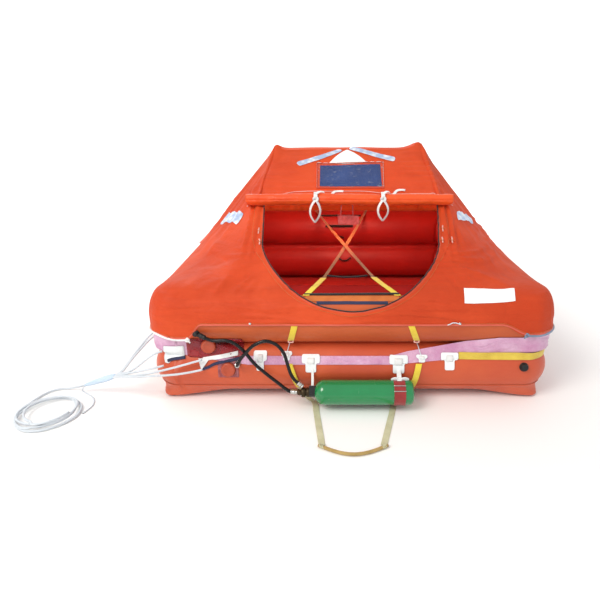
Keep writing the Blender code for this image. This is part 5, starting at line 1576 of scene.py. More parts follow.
def capPiece(name, x, z, radius, thick, square, material, seat=0.0, profile=None, ribs=36):
    centreZ = hull["lowerZ"] if z < contactZ else hull["upperZ"]
    a = 0.0 if square else math.asin((z - centreZ) / hull["tubeR"])
    axis = Vector((0, -math.cos(a), math.sin(a)))
    if square:
        origin = Vector((x, min(onSkin(x + u, z + v).y for u in (-radius, 0, radius)
                                for v in (-radius * 0.8, 0, radius * 0.8))
                         - seat, z))
    else:
        origin = Vector((x, -axisHalf, centreZ)) + axis * (hull["tubeR"] + 0.0005)
    profile = profile or [(0, 0.90), (0.0008, 1.0), (0.30, 1.0, 0.04), (0.62, 0.985, 0.04), (0.80, 0.94),
                          (0.93, 0.86),
                          (1.0, 0.72), (0.985, 0.60), (0.90, 0.55), (0.88, 0.10)]
    scaled = [(p[0] * thick, p[1] * radius, *[q * radius for q in p[2:]]) for p in profile]
    piece = lathe(name + "_turned", scaled, origin, axis, sides=108, ribs=ribs)
    place(piece, material, [name])


capPiece("valve_cap_upper", -0.576, 0.246, 0.030, 0.0125, True, solidPaint["cap"], seat=0.0035)
capPiece("valve_cap_lower", -0.499, 0.150, 0.030, 0.012, False, solidPaint["cap"])
capPiece("topup_valve", 0.697, 0.160, 0.0185, 0.016, False, solidPaint["mould"],
         profile=[(0, 1.0), (0.15, 1.0), (0.20, 0.86), (0.30, 0.84, 0.06), (0.80, 0.80, 0.06), (0.95, 0.74),
                  (1.0, 0.62),
                  (0.97, 0.45), (0.92, 0.15)], ribs=18)
capPiece("hose_boss_upper", -0.618, 0.312, 0.012, 0.014, False, solidPaint["mould"],
         profile=[(0, 1.25), (0.12, 1.25), (0.22, 0.98), (0.75, 0.92), (0.92, 0.86), (1.0, 0.70)], ribs=6)
capPiece("hose_boss_lower", -0.459, 0.176, 0.010, 0.0120, True, solidPaint["nickel"],
         profile=[(0, 1.2), (0.12, 1.2), (0.2, 0.98, 0.10), (0.72, 0.98, 0.10), (0.85, 0.84), (1.0, 0.72)],
         ribs=6)


# Boarding straps and clips
def slab(name, centre, size, material):
    # A moulded clip: a rounded plate with a slot through it
    wide, deep, tall = size
    work = bmesh.new()
    outer, inner = [], []
    for k in range(32):
        a = 2 * math.pi * k / 32
        outer.append((wide / 2 * math.copysign(abs(math.cos(a)) ** 0.45, math.cos(a)),
                      tall / 2 * math.copysign(abs(math.sin(a)) ** 0.45, math.sin(a))))
        inner.append((wide * 0.28 * math.copysign(abs(math.cos(a)) ** 0.6, math.cos(a)),
                      tall * 0.20 * math.copysign(abs(math.sin(a)) ** 0.6, math.sin(a))))
    loops = []
    for ring, y in ((outer, deep * 0.35), (outer, -deep * 0.35), (outer, -deep / 2), (inner, -deep / 2),
                    (inner, deep / 2),
                    (outer, deep / 2)):
        shrink = 0.92 if ring is outer and abs(y) == deep / 2 else 1.0
        loops.append([work.verts.new((u * shrink, y, v * shrink)) for u, v in ring])
    for a, b in zip(loops, loops[1:] + loops[:1]):
        for k in range(32):
            n = (k + 1) % 32
            work.faces.new((a[k], a[n], b[n], b[k]))
    mesh = bpy.data.meshes.new(name)
    work.to_mesh(mesh)
    work.free()
    for v in mesh.vertices:
        v.co += Vector(centre)
    place(faceOut(pieceFrom(mesh)), material)


def boardingStrap(name, topX, clipX, endX, patchTop):
    half = 0.0125
    rows = []
    for z in np.linspace(0.346, 0.268, 16):
        x = lerp(topX, clipX, (0.340 - z) / 0.072)
        rows.append((z, [x + half * t for t in acrossStrap]))
    lyingPiece(name + "_webbing", rows, 0.0010, 0.0014, strapPaint["yellow"], [name])
    clip = onSkin(clipX, 0.262)
    slab(name + "_clip", (clipX, clip.y - 0.0040, 0.262), (0.024, 0.0050, 0.016), solidPaint["clip"])
    path = []
    for t in np.linspace(0, 1, 24):
        z = lerp(0.256, patchTop - 0.004, t)
        path.append(onSkin(lerp(clipX, endX, t), z, 0.0030))
    roundLine(name + "_lashing", path, 0.0019, 8, ropePaint, name)


boardingStrap("boarding_strap_left", -0.228, -0.246, -0.262, 0.214)
boardingStrap("boarding_strap_right", 0.234, 0.262, 0.282, 0.206)


# Boarding stirrup
stirrup = {
    "half": 0.0125,
    "run": hull["tubeR"] + 0.0050,
    # x at the tube's front, under the tube, on the floor and at the bar
    "legs": {"stirrup_strap_left": (-0.252, -0.205, -0.150, -0.116),
             "stirrup_strap_right": (0.272, 0.244, 0.178, 0.109)},
    "anglesDeg": (22, 10, -2, -14, -26, -38, -50),
    "offTube": ((-0.8170, 0.0260), (-0.8250, 0.0125), (-0.8400, 0.0045), (-0.8600, 0.0016)),
    "alongFloor": ((-0.9300, 0.0012), (-1.0000, 0.0012), (-1.0700, 0.0012), (-1.1320, 0.0014),
                   (-1.1394, 0.0050)),
}


def flatRun(name, path, half, thick, material, replaced=(), wave=0.0):
    # A flat strap whose width lies along X
    rows = []
    for k, point in enumerate(path):
        along = alongAt(path, k)
        normal = Vector((0, along.z, -along.y)).normalized()
        if normal.z < 0 and abs(normal.z) > abs(normal.y):
            normal = -normal
        ripple = wave * noiseAt(k * 0.22, half, 0.5)
        rows.append([point + Vector((half * t, 0, 0)) + normal
                     * (ripple + 0.3 * wave * t * math.sin(k * 0.35))
                     for t in acrossStrap])
    place(gridMesh(name, rows), material, replaced, thick)


def makeStirrup():
    for name, (xTop, xLow, xFloor, xBar) in stirrup["legs"].items():
        points = []
        angles = stirrup["anglesDeg"]
        for k, deg in enumerate(angles):
            a = math.radians(deg)
            points.append((lerp(xTop, xLow, k / (len(angles) - 1)), -axisHalf - stirrup["run"] * math.cos(a),
                           hull["lowerZ"] + stirrup["run"] * math.sin(a)))
        split = len(points) - 2
        for k, (y, z) in enumerate(stirrup["offTube"]):
            points.append((lerp(xLow, xFloor, k / 3), y, z))
        for y, z in stirrup["alongFloor"]:
            points.append((lerp(xFloor, xBar, (y + 0.86) / -0.28), y, z))
        path = smoothRoute(points, 0.006)
        turnAt = min(range(len(path)), key=lambda k: (path[k] - Vector(points[split])).length)
        flatRun(name + "_upper", path[: turnAt + 1], stirrup["half"], 0.0018, strapPaint["yellow"])
        flatRun(name + "_lower", path[turnAt:], stirrup["half"], 0.0018, strapPaint["cream"], [name],
                wave=0.0004)
    # The step: webbing rolled round a stiffener, lashed to the legs with a few turns at each end
    def barAt(t, z):
        return Vector((lerp(-0.128, 0.122, t), -1.1462 - 0.050 * math.sin(math.pi * t), z))

    bar = sweep("stirrup_bar_rolled", [barAt(t, 0.0070) for t in np.linspace(0, 1, 60)],
                circleSection(0.0064, 20),
                scaleAt=lambda s: 1 + 0.05 * noiseAt(s * 24, 0, 0))
    place(bar, strapPaint["tan"], ["stirrup_bar"])
    for end, name in ((0.045, "left"), (0.955, "right")):
        rings = []
        for step in (-0.020, 0.0, 0.020):
            loop = [barAt(end + step, 0.0088)
                    + Vector((0.0022 * math.sin(a * 2), 0.0078 * math.cos(a), 0.0068 * math.sin(a)))
                    for a in np.linspace(0, 2 * math.pi, 29)]
            rings.append(sweep(f"stirrup_lashing_{name}_{round(step * 100)}", loop, circleSection(0.0019, 8)))
        place(joined(f"stirrup_lashing_{name}", rings), strapPaint["cream"])


makeStirrup()
print("patches, lifeline, straps and stirrup are on")


# Gas cylinder
cylinder = {"r": 0.050, "left": -0.152, "right": 0.246, "y": -0.8945, "z": 0.0725, "dome": 0.042,
            "bandLeft": 0.166, "bandRight": 0.211}


def makeCylinder():
    at = (0.0, cylinder["y"], cylinder["z"])
    along = (1, 0, 0)
    r = cylinder["r"]
    profile = [(cylinder["left"], 0.0125), (cylinder["left"] + 0.0006, 0.0132)]
    for k in range(18):
        a = math.radians(17 + 73 * k / 17)
        profile.append((cylinder["left"] + cylinder["dome"] * (1 - math.cos(a)), r * math.sin(a)))
    for x in np.linspace(cylinder["left"] + 0.05, cylinder["right"] - 0.020, 26):
        profile.append((x, r))
    for k in range(13):
        a = math.radians(90 * k / 12)
        profile.append((cylinder["right"] - 0.016 + 0.016 * math.sin(a), r - 0.016 + 0.016 * math.cos(a)))
    # The base is dished inside its standing ring
    profile += [(cylinder["right"] - 0.0015, r - 0.019), (cylinder["right"] - 0.006, 0.020),
                (cylinder["right"] - 0.008, 0.002)]
    bottle = lathe("gas_cylinder_bottle", profile, at, along, sides=72)
    place(bottle, solidPaint["enamel"], ["gas_cylinder"])
    # Valve: neck nut and a turned body that ends in a plug
    left = cylinder["left"]
    body = lathe("valve_body",
                 [(left - 0.0003, 0.0120), (left - 0.0120, 0.0124), (left - 0.0124, 0.0175),
                  (left - 0.0134, 0.0195),
                                (left - 0.0290, 0.0195), (left - 0.0300, 0.0182), (left - 0.0305, 0.0150),
                  (left - 0.0340, 0.0150),
                                (left - 0.0345, 0.0185), (left - 0.0360, 0.0198), (left - 0.0480, 0.0198),
                  (left - 0.0500, 0.0180),
                                (left - 0.0502, 0.0120), (left - 0.0640, 0.0118), (left - 0.0660, 0.0100)],
                 at, along, sides=48)
    nut = lathe("valve_nut",
                [(left - 0.0020, 0.0150), (left - 0.0030, 0.0168, 0.0022), (left - 0.0110, 0.0168, 0.0022),
                              (left - 0.0118, 0.0150)], at, along, sides=72, ribs=6)
    place(joined("cylinder_valve_cast", [body, nut]), solidPaint["bronze"],
          ["cylinder_valve"])
    # Red strap round the cylinder, with a doubled end and a stitched step
    rows = []
    wide = cylinder["bandRight"] - cylinder["bandLeft"]
    for k in range(73):
        a = 2 * math.pi * k / 72
        tuck = 0.0012 if 50 < k < 66 else 0.0
        row = []
        for t in (0, 0.03, 0.10, 0.30, 0.5, 0.70, 0.90, 0.97, 1):
            x = cylinder["bandLeft"] + wide * t
            roll = 0.0012 * math.exp(-((min(t, 1 - t)) / 0.06) ** 2)
            radius = r + 0.0018 + tuck + roll + 0.0004 * noiseAt(x * 60, a * 2.2, 0)
            row.append((x, cylinder["y"] + radius * math.cos(a), cylinder["z"] + radius * math.sin(a)))
        rows.append(row)
    strap = faceOut(gridMesh("cylinder_strap_webbing", rows))
    place(strap, strapPaint["red"], ["cylinder_band"], 0.0014, -1)
    # Buckle bars where the strap tightens
    for k, z in enumerate((0.046, 0.031)):
        a = math.asin(z / r / 1.08)
        path = [Vector((x, cylinder["y"] - (r + 0.0042) * math.cos(a),
                        cylinder["z"] + (r + 0.0042) * math.sin(a)))
                for x in np.linspace(cylinder["bandLeft"] - 0.002, cylinder["bandRight"] + 0.002, 12)]
        roundLine(f"cylinder_strap_bar_{k}", path, 0.0018, 10, solidPaint["nickel"], "cylinder_band")
    # Hangers from the patches, and the black neck strap over the valve
    hangTop = {"cylinder_hanger_left": (left - 0.006, 0.150, 0.0185, 0.0050),
               "cylinder_hanger_right": (0.189, 0.150, r + 0.0036, 0.0090)}
    for name, (x, topZ, rise, half) in hangTop.items():
        start = onSkin(x, 0.176, 0.0038)
        points = [start, onSkin(x, topZ, 0.0040),
                  Vector((x, cylinder["y"] + 0.014, cylinder["z"] + rise + 0.014)),
                  Vector((x, cylinder["y"] + 0.003, cylinder["z"] + rise + 0.0020)),
                  Vector((x, cylinder["y"] - 0.004, cylinder["z"] + rise + 0.0005))]
        path = smoothRoute(points, 0.004)
        flatRun(name + "_tape", path, half, 0.0012, strapPaint["white"], [name])
    neck = []
    for k in range(41):
        a = 2 * math.pi * k / 40
        stretch = 1.0 + 0.35 * max(0.0, math.sin(a)) ** 3
        neck.append([(left - 0.0065 + 0.0125 * t, cylinder["y"] + 0.0205 * math.cos(a),
                      cylinder["z"] + 0.0020 + 0.0195 * stretch * math.sin(a))
                     for t in (-1, -0.9, -0.3, 0.3, 0.9, 1)])
    place(faceOut(gridMesh("cylinder_neck_strap", neck)), strapPaint["black"], (),
          0.0016)
    # White two-lobed pad that the right hanger is tied to
    outline = []
    for k in range(48):
        a = 2 * math.pi * k / 48
        waist = 1 - 0.42 * math.exp(-(math.cos(a) / 0.34) ** 2)
        outline.append((0.0365 * math.cos(a),
                        0.0150 * waist * math.copysign(abs(math.sin(a)) ** 0.75, math.sin(a))))
    rows = []
    for share, lift in ((0.0, 0.0030), (0.3, 0.0030), (0.6, 0.0028), (0.85, 0.0022), (0.97, 0.0010),
                        (1.0, 0.0), (0.97, -0.0010),
                        (0.6, -0.0012)):
        row = []
        for u, v in outline:
            z = 0.1275 + v * share
            base = -0.8890 + (0.1275 - z) * 0.35
            row.append((0.192 + u * share, base - lift, z))
        rows.append(row)
    pad = faceOut(gridMesh("cylinder_hanger_pad", rows, closeAcross=True, caps=True))
    place(pad, paint["patch"])


makeCylinder()


# Hose fittings
def ferrule(name, route, atEnd, radius, length, material):
    path = smoothRoute(routes[route], 0.002)[:: -1 if atEnd else 1]
    tip, back = path[0], path[min(len(path) - 1, round(length / 0.002))]
    axis = (back - tip).normalized()
    profile = [(0.0, radius * 0.80), (0.0010, radius * 1.05), (0.0050, radius * 1.05),
               (0.0055, radius * 0.92),
               (0.0075, radius * 0.92), (0.0080, radius * 1.02), (length * 0.62, radius * 1.02),
               (length * 0.64, radius * 0.97),
               (length * 0.72, radius * 0.97), (length * 0.74, radius * 1.02),
               (length * 0.95, radius * 1.01), (length, radius * 0.94)]
    place(lathe(name, profile, tip, axis, sides=40), solidPaint[material])


ferrule("hose_upper_ferrule", "hose_upper", True, 0.0096, 0.026, "nickel")
ferrule("hose_lower_ferrule", "hose_lower", True, 0.0096, 0.026, "nickel")
ferrule("hose_upper_sleeve", "hose_upper", False, 0.0098, 0.030, "mould")
ferrule("hose_lower_sleeve", "hose_lower", False, 0.0094, 0.016, "nickel")


# Arch tube
archLook = {
    "r": 0.055,
    "cornerX": 0.338,
    "topZ": 0.871,
    "footX": 0.698,
    "footZ": hull["upperZ"] + hull["tubeR"] + 0.0003,
    "sides": 36,
}


def makeArch():
    corner = Vector((archLook["cornerX"], 0, archLook["topZ"]))
    foot = Vector((archLook["footX"], 0, archLook["footZ"]))
    leg = (corner - foot).normalized()
    rows = []
    circle = circleSection(archLook["r"], archLook["sides"])
    # Legs: the section keeps its shape up to the mitred horn
    for sign in (1, -1):
        direction = Vector((leg.x * sign, 0, leg.z))
        out = Vector((leg.z, 0, -leg.x)) if sign == 1 else Vector((-leg.z, 0, -leg.x))
        mitre = (direction + Vector((-sign, 0, 0))).normalized()
        tip = Vector((corner.x * sign, 0, corner.z))
        legRows, footRing, hornRing = [], [], []
        for u, v in circle:
            p = tip + out * u + Vector((0, v, 0))
            footRing.append(p - direction * ((p.z - archLook["footZ"]) / direction.z))
            hornRing.append(p - direction * ((p - tip).dot(mitre) / direction.dot(mitre)))
        for t in np.linspace(0, 1, 26):
            crease = 0.0022 * max(0.0, noiseAt(t * 14, sign, 0.3)) * (0.3 + t)
            centre = sum(footRing, Vector()).lerp(sum(hornRing, Vector()), t) / len(circle)
            legRows.append([a.lerp(b, t).lerp(centre, crease / archLook["r"]) for a,
                            b in zip(footRing, hornRing)])
        rows.append(legRows if sign == 1 else legRows[::-1])
    beam = []
    for t in np.linspace(0, 1, 20)[1:-1]:
        beam.append([a.lerp(b, t) for a, b in zip(rows[0][-1], rows[1][0])])
    tube = faceOut(gridMesh("arch_tube_skin", rows[0] + beam + rows[1], closeAcross=True, caps=True))
    place(tube, paint["arch"], ["arch_tube"])
    # Foot cuffs that weld the legs to the hull
    for sign, name in ((1, "right"), (-1, "left")):
        cuff = []
        for lift, grow in ((0.0, 1.28), (0.0012, 1.27), (0.0030, 1.06), (0.020, 1.03), (0.042, 1.025),
                           (0.043, 1.0)):
            direction = Vector((leg.x * sign, 0, leg.z))
            ring = []
            for u, v in circle:
                out = Vector((leg.z * sign, 0, -leg.x))
                p = Vector((corner.x * sign, 0, corner.z)) + out * (u * grow) + Vector((0, v * grow, 0))
                p = p - direction * ((p.z - archLook["footZ"] - lift) / direction.z)
                if lift < 0.002:
                    # The flange follows the tube's round top
                    drop = hull["tubeR"] - math.sqrt(max(0.0,
                                                         hull["tubeR"] ** 2 - (abs(p.x) - axisHalf) ** 2))
                    p.z = archLook["footZ"] - drop + lift
                ring.append(p)
            cuff.append(ring)
        place(faceOut(gridMesh(f"arch_cuff_{name}", cuff, closeAcross=True)), paint["hem"])


makeArch()

# Door hem, roll and ties
def outlinePoints(step, grow):
    # The door's edge from the top left down round the sill to the top right, pushed outward
    outline = [Vector((x, 0, z)) for x,
               z in doorOutline(80)[1:]] + [Vector((door["topRight"], 0, door["topZ"]))]
    even = evenSteps(outline, step)
    points = []
    for k, p in enumerate(even):
        along = alongAt(even, k)
        outward = Vector((along.z, 0, -along.x)).normalized()
        if outward.dot(p - Vector((0, 0, 0.62))) < 0:
            outward = -outward
        # The hem tape is wide at the jambs only
        wide = min(grow, 0.012) + max(0.0, grow - 0.012) * lerp(0.12, 1.0, smoothStep(0.54, 0.63, p.z))
        points.append(p + outward * wide)
    return points


def makeDoorHem():
    shares = (-0.0006, 0.004, 0.010, 0.020, 0.030, 0.040, door["hem"] - 0.003, door["hem"])
    lifts = (0.0010, 0.0014, 0.0013, 0.0012, 0.0012, 0.0013, 0.0014, 0.0003)
    rows = []
    rings = [outlinePoints(0.010, g) for g in shares]
    for k in range(len(rings[0])):
        rows.append([onFront(ring[k].x, min(ring[k].z, 0.735), lift) for ring, lift in zip(rings, lifts)])
    place(faceOut(gridMesh("door_hem_tape", rows)), paint["canopy"])
    # A rosy weld just outside the binding, its rosy line partly a painted highlight along the door's edge;
    # the black binding; and the sewn line at the hem's outer edge
    for name, grow, lift, radius, sides, material in (
            ("door_edge_weld_highlight", 0.0050, 0.0012, 0.0013, 8, paint["rosy"]),
            ("door_edge_binding", 0.0, 0.0010, 0.0028, 10, strapPaint["black"]),
            ("door_hem_stitching", door["hem"] - 0.004, 0.0016, 0.0007, 6, strapPaint["orange"])):
        path = [onFront(p.x, min(p.z, 0.735), lift) for p in outlinePoints(0.008, grow)]
        roundLine(name, path, radius, sides, material, "canopy_door_panel")


roll = {"r": 0.029, "half": 0.468, "y": -0.362, "turns": 2.6}
roll["z"] = roofZ(roll["y"]) + (roll["r"] + 0.0008) * math.sqrt(1 + canopy["slope"] ** 2)


def makeRoll():
    # The door flap rolled up: a spiral of cloth, pinched by its ties and crushed a little between them
    stations = 132
    rows = []
    turnSteps = 60
    for i in range(stations + 1):
        x = lerp(-roll["half"], roll["half"], i / stations)
        pinch = 1 - 0.16 * (bump01(x, -0.153, 0.018) + bump01(x, 0.150, 0.018))
        pinch *= 1 - 0.10 * (1 - smoothStep(0.0, 0.02, roll["half"] - abs(x)))
        sway = 0.0050 * noiseAt(x * 4, 0.4, 8.0)
        row = []
        for k in range(turnSteps + 1):
            share = k / turnSteps
            a = -share * roll["turns"] * 2 * math.pi + 0.6
            r = lerp(0.0060, roll["r"] - 0.0010, share ** 0.8) * pinch
            r += 0.0036 * noiseAt(x * 11, math.cos(a) * 1.1 + share * 3, math.sin(a) * 1.1) * share
            r += 0.0016 * noiseAt(x * 34 + 6 * a, math.cos(a) * 2.4, math.sin(a) * 2.4) * share
            row.append((x, roll["y"] + r * math.cos(a), roll["z"] + r * math.sin(a) + sway * share))
        # The cloth runs from the roll up on to the roof behind it
        for t in (0.35, 0.7, 1.0):
            y = lerp(roll["y"] + 0.018, roll["y"] + 0.052, t)
            base = Vector(row[turnSteps])
            target = onRoof(x * 0.985, y, 0.0012)
            row.append(tuple(base.lerp(target, min(1.0, t * 1.15))))
        rows.append(row)
    piece = gridMesh("door_roll_cloth", rows)
    place(piece, paint["rollCloth"], ["door_roll"], 0.0011)
    # White piping along the seam above the roll
    path = [onRoof(x, roll["y"] + 0.075 + 0.009 * math.sin(x * 9 + 2.2) + 0.003 * math.sin(x * 23), 0.0026)
            for x in np.linspace(-0.478, 0.486, 150)]
    roundLine("door_roll_piping", path, 0.0019, 8, paint["rosyPale"], "door_roll")


def tieTape(name, path, normals, half, replaced=()):
    rows = []
    for k, (point, normal) in enumerate(zip(path, normals)):
        side = alongAt(path, k).normalized().cross(normal).normalized()
        rows.append([point + side * (half * t) for t in acrossTape])
    place(gridMesh(name, rows), strapPaint["white"], replaced, 0.0011)


ties = {
    # name: (x over the roll, tail end on the roof, sag of its loop, lean)
    "door_tie_left": (-0.153, (-0.026, -0.286), 0.106, -0.004),
    "door_tie_right": (0.150, (0.262, -0.276), 0.098, 0.0),
}


def makeTies():
    for name, (x, (tailX, tailY), drop, lean) in ties.items():
        # Over the roll from the roof, then down in front of it
        over, normals = [], []
        for deg in np.linspace(60, 200, 18):
            a = math.radians(deg)
            n = Vector((0, math.cos(a), math.sin(a)))
            over.append(Vector((x, roll["y"], roll["z"])) + n * (roll["r"] + 0.0008))
            normals.append(n)
        tieTape(name + "_band", over, normals, 0.0085, [name])
        # The loop: two legs that bow apart and meet at the bottom
        top = over[-1]
        for sign in (-1, 1):
            path, facing = [], []
            for t in np.linspace(0, 1, 24):
                spread = 0.023 * math.sin(math.pi * min(1.0, t * 1.02)) ** 0.9
                path.append(Vector((x + lean * t + sign * spread,
                                    top.y - 0.003 - 0.006 * math.sin(math.pi * t), top.z + 0.012 - drop * t)))
                facing.append(Vector((sign * 0.75, -0.66, 0)).normalized())
            tieTape(f"{name}_leg{sign}", path, facing, 0.0062)
        # The knot where the loop leaves the roll
        knot = []
        for k in range(41):
            a = 2 * math.pi * k / 40 * 1.5
            knot.append(Vector((x + 0.0090 * math.cos(a), top.y - 0.004 + 0.004 * math.sin(a * 2),
                                top.z + 0.014 + 0.0085 * math.sin(a))))
        place(sweep(name + "_knot", knot, flatSection(0.0052, 0.0022, 10)), strapPaint["white"])
        # The free tail lies on the roof above the roll
        path = []
        for t, deg in zip(np.linspace(0, 0.30, 8), np.linspace(128, 52, 8)):
            a = math.radians(deg)
            reach = roll["r"] + 0.0030
            path.append(Vector((lerp(x, tailX, t), roll["y"] + reach * math.cos(a),
                                roll["z"] + reach * math.sin(a))))
        path += [onRoof(lerp(x, tailX, t),
                        lerp(roll["y"] + 0.040, tailY, smoothStep(0.3, 0.7, t)) + 0.003 * math.sin(9 * t),
                        0.0040)
                 for t in np.linspace(0.40, 1, 16)]
        path = smoothRoute(path, 0.006)
        tieTape(name + "_tail", path, [Vector((0, -0.53, 0.85))] * len(path), 0.0062)


makeDoorHem()
makeRoll()
makeTies()
print("cylinder, arch, hem, roll and ties are on")


# Things laid on the canopy
def laidSheet(name, corners, lift, material, cols, deep, crumple, rounded=0.0, replaced=()):
    # A flat piece between four corners (left-top, right-top, right-bottom, left-bottom), laid on the cloth
    lt, rt, rb, lb = corners
    lines = []
    for j in range(deep + 1):
        row = []
        for i in range(cols + 1):
            u, v = i / cols, j / deep
            if rounded:
                # Corners drawn in, so that they read as cut round
                du = min(u, 1 - u)
                if du < rounded:
                    v += (0.5 - v) * 0.55 * (1 - math.sqrt(max(0.0, 1 - (1 - du / rounded) ** 2)))
            a = lerp(lerp(lt[0], rt[0], u), lerp(lb[0], rb[0], u), v)
            b = lerp(lerp(lt[1], rt[1], u), lerp(lb[1], rb[1], u), v)
            up = lift + crumple * (0.5 + 0.5 * noiseAt(a * 22, b * 22, 4.0))
            up += crumple * 0.6 * max(0.0, ridged(noiseAt(a * 40 + b * 25, b * 38, 1.0) * 1.6))
            row.append(onRoof(a, b, up))
        lines.append(row)
    place(gridMesh(name, lines), material, replaced)


roof = {
    "sign": ((-0.137, -0.116), (0.156, -0.116), (0.156, -0.251), (-0.137, -0.251)),
    "pocket": ((-0.153, -0.104), (0.171, -0.104), (0.163, -0.261), (-0.150, -0.261)),
    "stripLeft": ((-0.256, -0.100), (-0.040, -0.012), (-0.026, -0.028), (-0.240, -0.126)),
    "stripRight": ((0.016, 0.004), (0.236, -0.068), (0.226, -0.100), (0.004, -0.018)),
    # Two reflective patches over the fold, one a side
    "shoulderLeft": ((-0.600, -0.150), (-0.486, -0.335), (-0.512, -0.385), (-0.628, -0.205)),
    "shoulderRight": ((0.499, -0.313), (0.618, -0.150), (0.598, -0.262), (0.489, -0.392)),
    "label": ((0.446, -0.768), (0.646, -0.770), (0.636, -0.826), (0.439, -0.825)),
    "triangle": {"apex": (-0.004, -0.020), "left": (-0.094, -0.100), "right": (0.090, -0.104)},
}


def makeTriangle():
    # A bare white plate whose top is rounded off
    t = roof["triangle"]
    lines = []
    for j in range(15):
        v = j / 14
        wide = 0.10 + 0.90 * v ** 0.9 + 0.06 * math.sin(math.pi * v)
        left = lerp(t["apex"][0], t["left"][0], wide)
        right = lerp(t["apex"][0], t["right"][0], wide)
        y = lerp(t["apex"][1], (t["left"][1] + t["right"][1]) / 2, v)
        lines.append([onRoof(lerp(left, right, i / 18), y - 0.006 * v * math.sin(math.pi * i / 18)
                             - 0.004 * (1 - v) * (2 * i / 18 - 1) ** 2, 0.0016) for i in range(19)])
    place(gridMesh("roof_plate_white", lines), paint["label"])


def makeRoofPieces():
    laidSheet("sign_panel_card", roof["sign"], 0.0012, paint["sign"], 60, 30, 0.0018,
              replaced=["sign_panel"])
    laidSheet("sign_pocket_film", roof["pocket"], 0.0052, clearVinyl, 60, 30, 0.0024)
    # The pocket's welded border, rosy where it is sewn
    lt, rt, rb, lb = roof["pocket"]
    border = []
    for a, b in ((lt, rt), (rt, rb), (rb, lb), (lb, lt)):
        border += [onRoof(lerp(a[0], b[0], k / 30), lerp(a[1], b[1], k / 30), 0.0042) for k in range(30)]
    border.append(border[0])
    rim = sweep("sign_pocket_border", border, flatSection(0.0046, 0.0014, 8), caps=False)
    place(rim, paint["rosy"])
    # White stitches through the border
    stitches = []
    for k in range(0, len(border) - 3, 3):
        stitch = [p + Vector((0, 0, up)) for p, up in zip(border[k:], (0.0017, 0.0021, 0.0017))]
        stitches.append(sweep(f"sign_stitch_{k}", stitch, circleSection(0.0010, 6)))
    place(joined("sign_pocket_stitching", stitches), strapPaint["white"])
    for side in ("Left", "Right"):
        laidSheet("roof_reflector_" + side.lower(), roof["strip" + side], 0.0016, reflective,
                  44, 8, 0.0012, 0.07)
        laidSheet("shoulder_reflector_" + side.lower(), roof["shoulder" + side], 0.0014, reflective,
                  30, 16, 0.0016, 0.02)
    makeTriangle()
    # Bare label on the front panel
    laidSheet("front_label_blank", roof["label"], 0.0014, paint["label"], 40, 16, 0.0003)


def makeWelts():
    for sign, name in ((-1, "left"), (1, "right")):
        for toward, side in ((-1, "front"), (1, "rear")):
            path = []
            far = 0.325 if toward < 0 else 0.76
            for t in np.linspace(0.004, far, 60 if toward < 0 else 110):
                y = toward * t
                x = sign * (canopy["foldX"] + canopy["foldSpread"] * abs(y) + 0.002 + 0.006
                            * math.sin(math.pi * t / far))
                path.append(onRoof(x, y, 0.0018))
            # A half-round cord sewn under the cloth, thinner towards the hem
            radius = (0.0078 if sign < 0 else 0.0105) if toward < 0 else 0.0038
            section = [(radius * math.cos(a) * 1.35, radius * math.sin(a))
                       for a in np.linspace(0, 2 * math.pi, 13)[:-1]]
            cord = sweep(f"canopy_welt_{side}_{name}", path, section,
                         scaleAt=lambda s: lerp(1.0, 0.55, s) * lerp(0.2, 1.0, smoothStep(0, 0.14, s)))
            place(cord, paint["canopy"])
        # Seam tape down the middle of each side panel, over the arch leg
        rows = []
        for t in np.linspace(0.02, 0.98, 60):
            x = lerp(0.385, 0.800, t) * sign
            rows.append([onRoof(x, w, 0.0010) for w in (-0.0175, -0.0160, 0, 0.0160, 0.0175)])
        place(faceOut(gridMesh(f"canopy_side_tape_{name}", rows)), paint["hem"])
    # Ridge tape from horn to horn
    rows = [[onRoof(x, w, 0.0010) for w in (-0.0160, -0.0145, 0, 0.0145, 0.0160)]
            for x in np.linspace(-0.335, 0.335, 70)]
    place(faceOut(gridMesh("canopy_ridge_tape", rows)), paint["hem"])
    # Hem tape round the skirt, a doubled edge with its sewn line
    ring = planRing(hull["half"] + 0.0060, hull["cornerOuter"], perSide=110, cornerSteps=22)
    rows, stitches = [], []
    for k, (x, y) in enumerate(ring):
        inward = inwardAt(ring[k - 1], ring[(k + 1) % len(ring)])
        hem = hemAt(x, y)
        row = []
        for up, lift in ((0.0002, 0.0002), (0.0004, 0.0020), (0.0035, 0.0024), (0.0066, 0.0020),
                         (0.0076, 0.0003)):
            z = hem + up
            hit = canopyTree.ray_cast(Vector((x, y, z)) - inward * 0.3, inward)[0]
            if hit is None:
                hit = Vector((x, y, z))
            row.append(Vector((hit.x, hit.y, z)) - inward * lift)
        rows.append(row)
        stitches.append(row[4] - inward * 0.0004 + Vector((0, 0, 0.0030)))
    place(faceOut(gridMesh("canopy_hem_tape", rows, closeAlong=True)), paint["rosy"])
    roundLine("canopy_hem_stitching", stitches + [stitches[0]], 0.0006, 6, strapPaint["orange"],
              "canopy_door_panel",
         caps=False)


